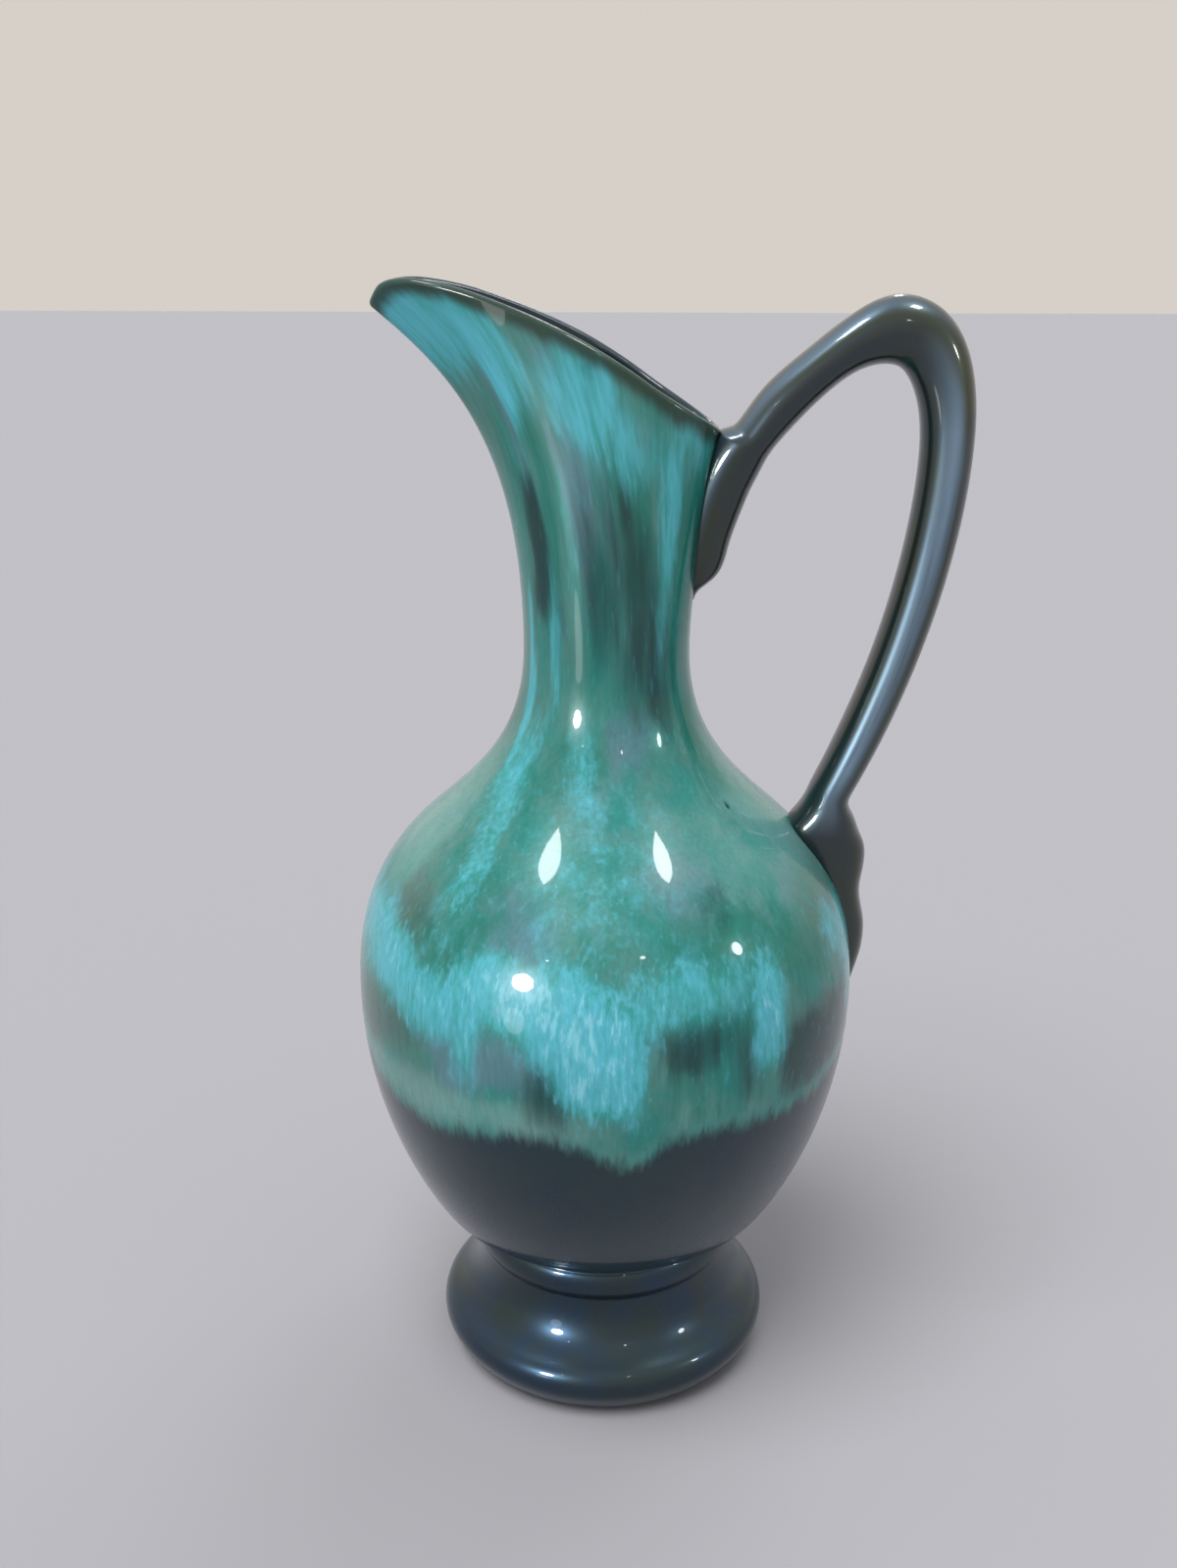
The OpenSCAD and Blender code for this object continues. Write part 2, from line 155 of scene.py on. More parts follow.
def wrapped_mesh(name, grid, fields, closed_rows=False):
    """Mesh of a (rows, columns, 3) grid in mm, whose columns wrap round.

    The rows wrap round too if asked. If not, each end is closed by a fan round its middle point.
    """
    rows, columns = grid.shape[:2]
    j = np.arange(columns)
    k = (j + 1) % columns
    i = np.arange(rows if closed_rows else rows - 1)[:, None]
    up = (i + 1) % rows
    corners = i * columns + j, i * columns + k, up * columns + k, up * columns + j
    faces = np.stack(np.broadcast_arrays(*corners), -1).reshape(-1, 4).tolist()
    points = grid.reshape(-1, 3)
    values = {key: np.asarray(v, float).reshape(rows * columns, -1) for key, v in fields.items()}
    if not closed_rows:
        points = np.concatenate([points, grid[:1].mean(1), grid[-1:].mean(1)])
        low, high = rows * columns, rows * columns + 1
        last = (rows - 1) * columns
        faces += np.stack([j * 0 + low, k, j], -1).tolist()
        faces += np.stack([j * 0 + high, last + j, last + k], -1).tolist()
        values = {
            key: np.concatenate([v, v[:columns].mean(0, keepdims=True), v[-columns:].mean(0, keepdims=True)])
            for key, v in values.items()
        }
    a, b, c = grid[:-1], grid[1:], np.roll(grid, -1, 1)[:-1]
    volume = np.einsum("ijk,ijk->", a, np.cross(c - a, b - a))
    if volume < 0:
        faces = [face[::-1] for face in faces]
    mesh = bpy.data.meshes.new(name)
    mesh.from_pydata((points * MM).tolist(), [], faces)
    for key, v in values.items():
        kind = "FLOAT_VECTOR" if v.shape[1] == 3 else "FLOAT"
        layer = mesh.attributes.new(key, kind, "POINT")
        layer.data.foreach_set("vector" if kind == "FLOAT_VECTOR" else "value", v.astype(np.float32).ravel())
    mesh.polygons.foreach_set("use_smooth", np.ones(len(mesh.polygons), bool))
    mesh.update()
    print(f"{name}: {len(mesh.vertices)} points, {2 * len(mesh.polygons)} triangles at most")
    return new_object(name, mesh)


# %% [markdown]
# ## How the glaze ran
# The turquoise glaze lies thick where it gathered and thin where it ran off. The
# places of its pools and drips are set here as soft strokes, by the angle
# round the pitcher (0 faces the viewer, 90 is the handle) and the height in mm.
# Each stroke gives an amount from 0 to 1; the fine fibres come later, in nodes.


# %% Soft strokes
# Size, waves round the pitcher, waves up it and shift with the seed
WAVES = [(1.0, 5, 0.071, 1.0), (0.7, 11, -0.13, 2.3), (0.5, 23, 0.21, 4.1)]
RAGGED_ACROSS, RAGGED_ALONG, OVAL_POWER, SEED_STEP = 0.16, 0.12, 2.4, 1.37


def turned_by(angle, middle):
    """Difference of two angles in degrees, from -180 to 180."""
    return (angle - middle + 180.0) % 360.0 - 180.0


def wander(angle, z, seed):
    """Slow waves that keep a stroke from being a plain oval: a sum of sines of the angle and the height."""
    a = np.radians(angle)
    return sum(size * np.sin(times * a + climb * z + shift * seed) for size, times, climb, shift in WAVES)


def stroke(angle, z, spot, seed):
    """Amount of one stroke: 1 inside an oval of half-width w and half-height h, and 0 well outside it."""
    middle, height, w, h, strength, soft = spot
    across = turned_by(angle, middle) / w + RAGGED_ACROSS * wander(angle, z, seed)
    along = (z - height) / h + RAGGED_ALONG * wander(angle + 40, 1.7 * z, seed + 1)
    reach = np.sqrt(np.abs(across) ** OVAL_POWER + np.abs(along) ** OVAL_POWER)
    return strength / (1 + np.exp(np.clip((reach - 1) / soft, -30, 30)))


def layer_amount(angle, z, spots, seed):
    """Several strokes of one glaze: 1 less the product of what each leaves bare."""
    bare = np.ones_like(z)
    for number, spot in enumerate(spots):
        bare = bare * (1 - np.clip(stroke(angle, z, spot, seed + SEED_STEP * number), 0, 1))
    return 1 - bare


# %% [markdown]
# The strokes of each glaze, as (angle, height, half-width in degrees, half-height
# in mm, strength, softness). The front follows the pitcher; round the back the
# same kinds of pools and drips go on.

# %% Places of the pools and drips
AQUA = [
    (-74, 141, 15, 7.5, 0.72, 0.3), (-56, 137, 10, 6.5, 0.75, 0.3), (-42, 132, 9, 7, 0.74, 0.3),
    (-31, 125, 2.8, 9, 0.5, 0.35), (-21, 139, 10, 8, 0.92, 0.26), (-11, 135, 7, 10, 0.72, 0.3),
    (-5, 125, 5, 13, 0.95, 0.28), (4, 124, 4.6, 12, 0.9, 0.28), (3, 137, 8, 6, 0.34, 0.4),
    (15, 139, 8, 6, 0.42, 0.45), (27, 141, 10, 6, 0.4, 0.45), (38, 131, 3.8, 12, 0.88, 0.28),
    (72, 141, 8, 6, 0.5, 0.38), (82, 128, 8, 12, 0.55, 0.3), (104, 134, 11, 9, 0.75, 0.28),
    (118, 122, 4, 15, 0.85, 0.25), (134, 136, 12, 8, 0.7, 0.3), (148, 126, 5, 17, 0.9, 0.25),
    (163, 138, 10, 7, 0.7, 0.3), (178, 129, 6, 16, 0.92, 0.22), (-166, 137, 11, 9, 0.75, 0.28),
    (-148, 125, 4.6, 15, 0.85, 0.25), (-132, 139, 12, 8, 0.7, 0.3), (-114, 128, 6, 16, 0.88, 0.24),
    (-97, 138, 10, 8, 0.7, 0.3),
    # streaks on the shoulder
    (-42, 163, 4, 12, 0.34, 0.45), (-50, 184, 8, 10, 0.45, 0.45), (-58, 196, 3, 12, 0.7, 0.35),
    (-12, 190, 7, 8, 0.34, 0.45), (-6, 166, 22, 12, 0.2, 0.45), (150, 186, 7, 14, 0.5, 0.45),
    (-140, 182, 6, 16, 0.5, 0.45), (110, 176, 5, 13, 0.42, 0.45),
    # neck and spout
    (-60, 293, 18, 8, 0.8, 0.35), (-72, 297, 14, 5, 0.65, 0.35), (-37, 285, 4.6, 13, 0.86, 0.32),
    (-27, 288, 6, 9, 0.6, 0.4), (-8, 279, 10, 7, 0.42, 0.45), (8, 276, 10, 10, 0.62, 0.4),
    (22, 266, 5, 8, 0.34, 0.45), (36, 263, 9, 7, 0.34, 0.45), (46, 249, 4.5, 17, 0.66, 0.36),
    (62, 266, 9, 7, 0.34, 0.45), (40, 226, 4, 17, 0.36, 0.45), (-61, 214, 2.4, 11, 0.85, 0.25),
    (-36, 218, 4.5, 14, 0.42, 0.42), (-95, 290, 16, 8, 0.72, 0.35), (-126, 284, 9, 14, 0.8, 0.32),
    (-148, 274, 7, 17, 0.82, 0.32), (172, 270, 10, 12, 0.8, 0.32), (150, 256, 5, 18, 0.85, 0.28),
    (128, 260, 8, 11, 0.62, 0.38),
]
GREEN = [
    (-36, 152, 9, 14, 0.6, 0.35), (-44, 143, 10, 7, 0.55, 0.35), (-22, 186, 10, 10, 0.5, 0.35),
    (-48, 176, 14, 12, 0.55, 0.35), (-3, 146, 10, 7, 0.35, 0.4), (30, 150, 14, 8, 0.85, 0.3),
    (52, 142, 9, 9, 0.7, 0.3), (18, 128, 5, 12, 0.55, 0.35), (70, 126, 8, 12, 0.4, 0.35),
    (22, 109, 10, 7, 0.45, 0.35), (-8, 186, 8, 8, 0.5, 0.35), (58, 190, 10, 12, 0.7, 0.35),
    (120, 150, 20, 10, 0.6, 0.35), (170, 152, 18, 10, 0.6, 0.35), (-130, 152, 22, 10, 0.6, 0.35),
    (-26, 270, 8, 22, 0.9, 0.25), (-14, 276, 3, 12, 0.6, 0.3), (24, 248, 12, 18, 0.98, 0.25),
    (-33, 240, 8, 18, 0.7, 0.3), (-20, 212, 12, 12, 0.6, 0.35), (60, 232, 16, 30, 0.6, 0.35),
    (-60, 262, 14, 18, 0.5, 0.35), (140, 240, 14, 22, 0.75, 0.3), (-160, 250, 14, 26, 0.7, 0.3),
    (-110, 262, 12, 22, 0.75, 0.3),
]
MAUVE = [
    (-24, 153, 10, 11, 0.6, 0.38), (-18, 152, 7, 7, 0.5, 0.35), (4, 178, 12, 7, 0.35, 0.4),
    (24, 162, 13, 9, 0.55, 0.35), (-24, 121, 12, 8, 0.95, 0.22), (-33, 116, 5, 6, 0.7, 0.3),
    (16, 194, 16, 7, 0.8, 0.3), (62, 163, 16, 12, 0.45, 0.4), (115, 168, 16, 12, 0.6, 0.35),
    (170, 172, 16, 10, 0.7, 0.35), (-120, 170, 18, 12, 0.6, 0.35), (140, 121, 9, 8, 0.8, 0.25),
    (-160, 120, 9, 8, 0.8, 0.25), (-45, 280, 5, 22, 0.7, 0.3), (-9, 258, 9, 26, 0.9, 0.28),
    (-8, 246, 7, 10, 0.45, 0.4), (8, 250, 6, 16, 0.6, 0.35), (64, 254, 7, 16, 0.4, 0.4),
    (112, 250, 9, 26, 0.8, 0.3), (-178, 240, 9, 26, 0.7, 0.3), (-138, 256, 8, 22, 0.75, 0.3),
]
OLIVE = [
    (-64, 149, 8, 5, 0.75, 0.35), (-56, 158, 8, 12, 0.65, 0.4), (-64, 121, 15, 8, 0.92, 0.32),
    (-46, 112, 10, 7, 0.35, 0.4), (-18, 110, 8, 6, 0.35, 0.4), (56, 117, 10, 10, 0.9, 0.3),
    (66, 148, 12, 9, 0.55, 0.35), (33, 118, 7, 7, 0.4, 0.35), (98, 116, 12, 8, 0.7, 0.3),
    (128, 110, 12, 6, 0.6, 0.35), (164, 112, 10, 7, 0.7, 0.3), (-172, 108, 10, 6, 0.5, 0.35),
    (-134, 114, 12, 8, 0.7, 0.3), (-100, 118, 10, 8, 0.7, 0.3), (-84, 205, 12, 16, 0.6, 0.35),
]
DEEP = [
    (-51, 149, 7, 7, 0.35, 0.4), (-50, 121, 14, 4.5, 0.32, 0.4), (-12, 115, 4.6, 11, 0.85, 0.3),
    (20, 127, 8, 9, 0.8, 0.28), (31, 122, 4, 12, 0.55, 0.3), (48, 114, 8, 9, 0.98, 0.3),
    (61, 117, 12, 12, 1, 0.26), (30, 157, 5, 5, 0.4, 0.35), (-46, 240, 10, 18, 1, 0.24),
    (-30, 222, 5, 8, 0.5, 0.3), (-4, 232, 13, 18, 0.66, 0.38), (-16, 244, 9, 10, 0.3, 0.4),
    (14, 247, 7, 12, 0.42, 0.38), (28, 226, 14, 18, 0.7, 0.3), (30, 205, 16, 14, 0.75, 0.35),
    (18, 251, 3, 5, 0.55, 0.3), (75, 235, 10, 20, 0.5, 0.35), (12, 283.5, 2.6, 2.2, 1, 0.15),
    (56, 174.5, 0.9, 0.9, 1, 0.12), (106, 124, 5, 9, 0.7, 0.3), (156, 122, 4, 11, 0.65, 0.3),
    (-140, 124, 5, 9, 0.7, 0.3), (-122, 234, 12, 20, 0.85, 0.25), (162, 226, 14, 18, 0.7, 0.3),
]
MILKY = [
    (-80, 168, 24, 14, 0.8, 0.4), (-64, 160, 10, 8, 0.55, 0.4), (-8, 160, 9, 12, 0.45, 0.4),
    (50, 166, 20, 12, 0.6, 0.4), (82, 172, 14, 16, 0.6, 0.4), (-70, 133, 14, 10, 0.45, 0.35),
    (24, 108, 9, 6, 0.6, 0.4), (-38, 106, 22, 6, 0.9, 0.38), (-20, 106, 6, 5, 0.8, 0.38),
    (130, 166, 24, 14, 0.55, 0.4), (-150, 166, 24, 14, 0.55, 0.4),
]
CRYSTAL = [
    (0, 127, 12, 17, 0.95, 0.3), (-18, 138, 14, 7, 0.6, 0.4), (38, 130, 5, 14, 0.55, 0.4),
    (-50, 134, 16, 7, 0.35, 0.4), (8, 272, 14, 14, 0.85, 0.4), (46, 250, 6, 16, 0.8, 0.4),
    (-36, 286, 8, 12, 0.8, 0.4), (-66, 293, 16, 8, 0.6, 0.4), (148, 126, 5, 15, 0.8, 0.3),
    (178, 130, 7, 15, 0.9, 0.3), (-114, 130, 7, 14, 0.8, 0.3), (-148, 128, 6, 14, 0.7, 0.3),
]
# Height of the lowest edge of the upper glaze, by angle
HEM = [
    (-180, 100), (-150, 97), (-120, 104), (-90, 107), (-72, 104), (-58, 99), (-46, 97.5), (-36, 98),
    (-27, 100), (-18, 102), (-9, 101.5), (-3, 98.5), (3, 95), (8, 95), (12, 100), (20, 103), (33, 102.5),
    (45, 100.5), (58, 102), (72, 105), (95, 106), (120, 102), (150, 103), (180, 100),
]
# Strokes and seed of each glaze
GLAZES = {"aqua": (AQUA, 0.4), "green": (GREEN, 1.9), "mauve": (MAUVE, 3.1), "olive": (OLIVE, 4.7),
          "deep": (DEEP, 6.2), "milky": (MILKY, 7.7), "crystal": (CRYSTAL, 9.0)}
FAR, HEM_WAVES = 99.0, 0.35  # mm for any place far below the rim, and mm by which the hem wavers


def glaze_fields(angle, z, rim=None):
    """Amount of each glaze at an angle and a height, and the mm above the hem and below the rim."""
    hem = np.interp(turned_by(angle, 0), [a for a, _ in HEM], [h for _, h in HEM])
    fields = {name: layer_amount(angle, z, spots, seed) for name, (spots, seed) in GLAZES.items()}
    fields["above_hem"] = z - hem - HEM_WAVES * wander(3 * angle, 0 * z, 2.0)
    fields["below_rim"] = np.full_like(z, FAR) if rim is None else rim
    return fields


print("strokes:", sum(len(spots) for spots, _ in GLAZES.values()))

# %% [markdown]
# ## The turned body
# Foot, collar and belly are round, so each is an outline turned about the upright
# axis. The outline is drawn once from the table to the neck, and its corners are
# softened by about half a millimetre, because glaze fills sharp corners. It is
# then cut where the clay sections meet, and each section gets its inner wall.

# %% Outline of the body, in mm
FOOT_R, LIP_H, RING_R, FOOT_TOP_R, FOOT_H = 47.8, 10.0, 40.0, 36.0, 33.0
COLLAR_H, BEAD_H, SWELL, THROAT_R = 14.5, 8.6, 1.9, 31.0
BELLY_R, BELLY_RISE, SEAT_R = 68.7, 69.5, 39.5
WALL, FLOOR, RECESS = 4.6, 5.0, 3.5
BELLY_Z = FOOT_H + COLLAR_H
WIDEST_Z = BELLY_Z + BELLY_RISE
TURN = np.array([49.0, WIDEST_Z + 47.5])
NECK_R, WAIST_Z = 21.95, WIDEST_Z + 95.0
# Curve handles of the foot: shares of the lip's height, of the widths and of the rises, and a lean
SHOULDER_IN, SHOULDER_UP, RING_ROUND, LIP_ROUND = 0.3, 1.58, 0.24, 0.57
SLOPE_OUT, SLOPE_IN, SLOPE_LEAN = 0.65, 0.55, -58
# Curve handles of the belly from the seat up, as shares or in mm, and the leans at hip and turn
SEAT_OUT, HIP_BACK, HIP_ON, WIDE_BACK = 0.6, 1.48, 0.045, 0.53
WIDE_ON, TURN_BACK, TURN_ON, WAIST_BACK = 19.95, 20.43, 16.39, 25.2
HIP_LEAN, TURN_LEAN = 40, -48
FINE_STEP, CORNER = 0.2, 0.55

shoulder = np.array([FOOT_R - SHOULDER_IN * LIP_H, SHOULDER_UP * LIP_H])
lip_rise = shoulder[1] - LIP_H
foot_line = joined(
    cubic([RING_R, 0], [RING_R + RING_ROUND * (FOOT_R - RING_R), 0], [FOOT_R, LIP_ROUND * LIP_H],
          [FOOT_R, LIP_H], 60),
    cubic([FOOT_R, LIP_H], [FOOT_R, LIP_H + lip_rise / 2],
          shoulder - leaning(lip_rise / 3, SLOPE_LEAN), shoulder, 30),
    cubic(shoulder, shoulder + leaning(SLOPE_OUT * (shoulder[0] - FOOT_TOP_R), SLOPE_LEAN),
          [FOOT_TOP_R, FOOT_H - SLOPE_IN * (FOOT_H - shoulder[1])], [FOOT_TOP_R, FOOT_H], 60),
)


def bead(low, high):
    """Half round of the collar: the radius swells with the sine of the turn, the height by its cosine."""
    turn = np.linspace(0, np.pi, 40)
    return np.stack([FOOT_TOP_R + SWELL * np.sin(turn), low + (high - low) * (1 - np.cos(turn)) / 2], -1)


hip = np.array([49.1, BELLY_Z + 3.7])
belly_line = joined(
    cubic([SEAT_R, BELLY_Z], [SEAT_R + SEAT_OUT * (hip[0] - SEAT_R), BELLY_Z],
          hip - leaning(HIP_BACK, HIP_LEAN), hip, 30),
    cubic(hip, hip + leaning(HIP_ON * BELLY_RISE, HIP_LEAN), [BELLY_R, WIDEST_Z - WIDE_BACK * BELLY_RISE],
          [BELLY_R, WIDEST_Z], 90),
    cubic([BELLY_R, WIDEST_Z], [BELLY_R, WIDEST_Z + WIDE_ON], TURN - leaning(TURN_BACK, TURN_LEAN), TURN, 70),
    cubic(TURN, TURN + leaning(TURN_ON, TURN_LEAN), [NECK_R, WAIST_Z - WAIST_BACK], [NECK_R, WAIST_Z], 70),
)
outline = joined(foot_line, bead(FOOT_H, FOOT_H + BEAD_H), bead(FOOT_H + BEAD_H, BELLY_Z),
                 np.array([[FOOT_TOP_R, BELLY_Z], [SEAT_R, BELLY_Z]]), belly_line)
keep = np.concatenate([[True], np.linalg.norm(np.diff(outline, axis=0), axis=1) > 1e-6])
outline = softened(evenly(outline[keep], FINE_STEP), CORNER)
outline[:, 1] = np.maximum(outline[:, 1], 0.0)
outline[-1] = [NECK_R, WAIST_Z]
print("outline:", len(outline), "points, widest", outline[:, 0].max().round(2), "mm")

# %% [markdown]
# ## Foot, collar and belly
# A turned piece is closed by going down its inner wall. The glaze amounts are
# worked out at every point and stored with it, for the materials to read.


# %% Turn an outline about the axis
DRAWN_Z, DRAWN = 150.0, 0.5  # above this height the glaze is drawn out into longer fibres
BARE_R, BARE_Z = RING_R + 0.6, 4.2  # the clay is bare within this radius and below this height
MIDDLE_R, FLOOR_MID_R, UNDER_IN_R, UNDER_OUT_R, UNDER_SOFT = 0.5, 16, 31.2, 35.2, 0.4
FOOT_STEP, COLLAR_STEP, BELLY_STEP, LINING_STEP = 0.45, 0.4, 1.4, 7.5


def turned_piece(name, line, outer_count, columns, closed=True):
    """Turns an (r, z) line about the upright axis: x = r sin(angle), y = -r cos(angle), z = height."""
    angle = np.linspace(0, 360, columns, endpoint=False)[None, :]
    a = np.radians(angle)
    r, z = line[:, :1], line[:, 1:2]
    grid = np.stack(np.broadcast_arrays(r * np.sin(a), -r * np.cos(a), z), -1)
    angles, heights = np.broadcast_arrays(angle, z)
    fields = glaze_fields(angles, heights)
    drawn = np.where(heights < DRAWN_Z, heights, DRAWN_Z + DRAWN * (heights - DRAWN_Z))
    fields["flow"] = np.concatenate([grid[..., :2], drawn[..., None]], -1) * MM
    fields["inside"] = np.broadcast_to((np.arange(len(line)) >= outer_count)[:, None], heights.shape)
    fields["bare"] = np.broadcast_to(((r < BARE_R) & (z < BARE_Z)), heights.shape)
    return wrapped_mesh(name, grid, fields, closed_rows=closed)


split_foot = int(np.argmin(np.abs(outline[:, 1] - FOOT_H)))
split_collar = int(np.argmax((outline[:, 0] < FOOT_TOP_R + 1.5) & (outline[:, 1] > BELLY_Z - 0.35)))

foot_outer = firm_ends(evenly(outline[: split_foot + 1], FOOT_STEP))
floor_z, bowl_r = RECESS + FLOOR, RING_R - 1.5 * FLOOR
foot_inner = joined(
    np.array([[THROAT_R, foot_outer[-1, 1]], [THROAT_R, FOOT_H - 1]]),
    cubic([THROAT_R, FOOT_H - 1], [THROAT_R, floor_z + FLOOR], [RING_R - FLOOR, floor_z + FLOOR],
          [bowl_r, floor_z], 20),
    np.array([[bowl_r, floor_z], [FLOOR_MID_R, floor_z], [MIDDLE_R, floor_z]]),
)
under = np.array([[MIDDLE_R, RECESS], [UNDER_IN_R, RECESS], [UNDER_OUT_R, 0.0], [RING_R, 0.0]])
under = softened(evenly(under, UNDER_SOFT), UNDER_SOFT)
under[:, 1] = np.maximum(under[:, 1], 0.0)
foot = turned_piece("foot_glazed", np.concatenate([under[:-1], foot_outer, foot_inner]),
                    len(under) - 1 + len(foot_outer), 360, closed=False)

collar_outer = firm_ends(evenly(outline[split_foot : split_collar + 1], COLLAR_STEP))
collar_inner = evenly(np.array([[THROAT_R, collar_outer[-1, 1]], [THROAT_R, collar_outer[0, 1]]]), 3.0)
collar = turned_piece("collar_glazed", np.concatenate([collar_outer, collar_inner]), len(collar_outer), 360)

belly_outer = firm_ends(evenly(outline[split_collar:], BELLY_STEP))
direction = np.gradient(outline, axis=0)
direction /= np.linalg.norm(direction, axis=1)[:, None]
inner = outline + WALL * np.stack([-direction[:, 1], direction[:, 0]], -1)
inner = inner[(outline[:, 1] > BELLY_Z + 3) & (inner[:, 1] > BELLY_Z + WALL) & (inner[:, 1] < WAIST_Z - 0.5)]
inner = joined(np.array([[NECK_R - WALL, WAIST_Z], [NECK_R - WALL, WAIST_Z - 0.3]]),
               evenly(inner[::-1], LINING_STEP),
               np.array([[THROAT_R, BELLY_Z + WALL], [THROAT_R, collar_outer[-1, 1]]]))
belly = turned_piece("belly_glazed", np.concatenate([belly_outer, inner]), len(belly_outer), 480)

# %% [markdown]
# ## Neck and spout
# The neck starts round at its waist and ends in a long, pinched, slanting mouth.
# Each upright line of it is a cubic curve from the waist to the rim: upright at
# the bottom, and leaning out at the top, most of all under the spout. The wall
# closes over the rim in a half round, as glazed rims do.

# %% Shape of the mouth
BACK_RISE, LIP_RISE, BACK_REACH, SPOUT_REACH = 55.6, 91.4, 28.4, 58.6
MOUTH_W, SPOUT_LEAN, BACK_LEAN, RIM_T, EGG = 34.0, 51.0, 9.0, 3.2, 0.35
PULL = 0.3  # length of the curves' handles as a share of the rise; twice that under the spout
BACK_Z = WAIST_Z + BACK_RISE
egg_cos = (math.sqrt(1 + 8 * EGG**2) - 1) / (4 * EGG)
EGG_PEAK = math.sqrt(1 - egg_cos**2) * (1 + EGG * egg_cos)
RIM_RISE = [(0, 0), (0.09, 0.14), (0.18, 0.28), (0.27, 0.43), (0.38, 0.59), (0.49, 0.72), (0.6, 0.83),
            (0.72, 0.93), (0.82, 0.985), (0.9, 1), (0.965, 0.955), (1, 0.84)]


def unit(v):
    """The same directions with length 1."""
    return v / np.linalg.norm(v, axis=-1, keepdims=True)


def towards_spout(turn):
    """0 at the handle and 1 at the spout: half of 1 less the cosine of the turn."""
    return (1 - np.cos(turn)) / 2


def rim_line(turn):
    """Outer edge of the rim: an egg in plan, with its height from the table of shares."""
    x = (BACK_REACH - SPOUT_REACH) / 2 + (BACK_REACH + SPOUT_REACH) / 2 * np.cos(turn)
    y = MOUTH_W / 2 * np.sin(turn) * (1 + EGG * np.cos(turn)) / EGG_PEAK
    z = BACK_Z + (LIP_RISE - BACK_RISE) * smooth_table(RIM_RISE, towards_spout(turn))
    return np.stack([x, y, z], -1)


def rim_up(turn):
    """Direction in which the wall reaches the rim: upright, leaning out more and more towards the spout."""
    lean = np.radians(BACK_LEAN - (BACK_LEAN + SPOUT_LEAN) * towards_spout(turn))
    return np.stack([np.sin(lean), 0 * lean, np.cos(lean)], -1)


def rim_across(turn):
    """Direction across the rim towards the inside, square to the way up."""
    x = -MOUTH_W / 2 * (np.cos(turn) + EGG * np.cos(2 * turn)) / EGG_PEAK
    y = -(BACK_REACH + SPOUT_REACH) / 2 * np.sin(turn)
    inward, up = unit(np.stack([x, y, 0 * turn], -1)), rim_up(turn)
    return unit(inward - (inward * up).sum(-1, keepdims=True) * up)


def neck_wall(turn, t, inner=0.0):
    """Point of the wall at a turn and a share t of the way up: a cubic from the round waist to the rim."""
    turn, t = np.broadcast_arrays(turn, t)
    top = rim_line(turn)
    rise = (top[..., 2] - WAIST_Z)[..., None]
    spoke = np.stack([np.cos(turn), np.sin(turn), 0 * turn], -1)
    low = (NECK_R - inner * WALL) * spoke + [0, 0, WAIST_Z]
    high = top + inner * RIM_T * rim_across(turn)
    share = (PULL + PULL * towards_spout(turn))[..., None]
    t = t[..., None]
    b = low + share * rise * np.array([0, 0, 1.0])
    c = high - PULL * rise * rim_up(turn)
    return (1 - t) ** 3 * low + 3 * t * (1 - t) ** 2 * b + 3 * t * t * (1 - t) * c + t**3 * high


# %% [markdown]
# The neck is two of these surfaces, one outside and one inside, joined over the
# rim by the half round. The amounts of glaze follow the way along the wall, so the
# streaks run down the spout as the real glaze did.

# %% Build the neck
columns = 400
turn = np.linspace(0, 2 * np.pi, columns, endpoint=False)[None, :]
up = firm_ends(np.linspace(0, 1, 150)[:, None])
over = np.linspace(0, np.pi, 15)[1:-1, None]
down = np.linspace(1, 0, 40)[:, None]
outside = neck_wall(turn, up)
half_round = np.sin(over)[..., None] * rim_up(turn) - np.cos(over)[..., None] * rim_across(turn)
lip = rim_line(turn) + RIM_T / 2 * rim_across(turn) + RIM_T / 2 * half_round
lining = neck_wall(turn, down, 1.0)
grid = np.concatenate([outside, lip, lining])
angles = np.broadcast_to(np.degrees(turn) + 90, grid.shape[:2])
arc = np.cumsum(np.linalg.norm(np.diff(outside, axis=0), axis=-1), 0)
arc = np.concatenate([np.zeros((1, columns)), arc])
rim_distance = np.concatenate([arc[-1] - arc, np.zeros((len(over) + len(down), columns))])
grid[..., 2] = np.minimum(grid[..., 2], cad_high[2] / MM)
fields = glaze_fields(angles, grid[..., 2], rim_distance)
climb = np.concatenate([arc, np.broadcast_to(arc[-1], (len(over), columns)), lining[..., 2] - WAIST_Z])
fields["flow"] = np.stack([
    NECK_R * np.sin(np.radians(angles)), -NECK_R * np.cos(np.radians(angles)),
    DRAWN_Z + DRAWN * (WAIST_Z - DRAWN_Z) + DRAWN * climb], -1) * MM
inside = np.zeros(len(grid))
inside[len(up) + len(over) // 2 :] = 1
fields["inside"] = np.broadcast_to(inside[:, None], angles.shape)
fields["bare"] = np.zeros(angles.shape)
neck = wrapped_mesh("neck_glazed", grid, fields, closed_rows=True)

# %% [markdown]
# ## The strap handle
# A pulled or cast strap: a rounded section carried along a path that rises from
# the rim, arches over and comes down to the shoulder. The section stays square to
# the path, and its thickness changes on the way.

# %% Path and sections of the handle
REACH, CREST_RISE, STRAP_W = 86.6, 26.0, 16.0
ROOT_T, ARM_T, CREST_T, LEG_T, HEEL_T = 12.6, 9.8, 15.8, 12.4, 11.0
ROOT_LEAN, ARM_LEAN, HEEL_LEAN = 35.0, 50.0, 28.0
TONGUE_LEN, TAIL_LEN = 43.0, 54.5
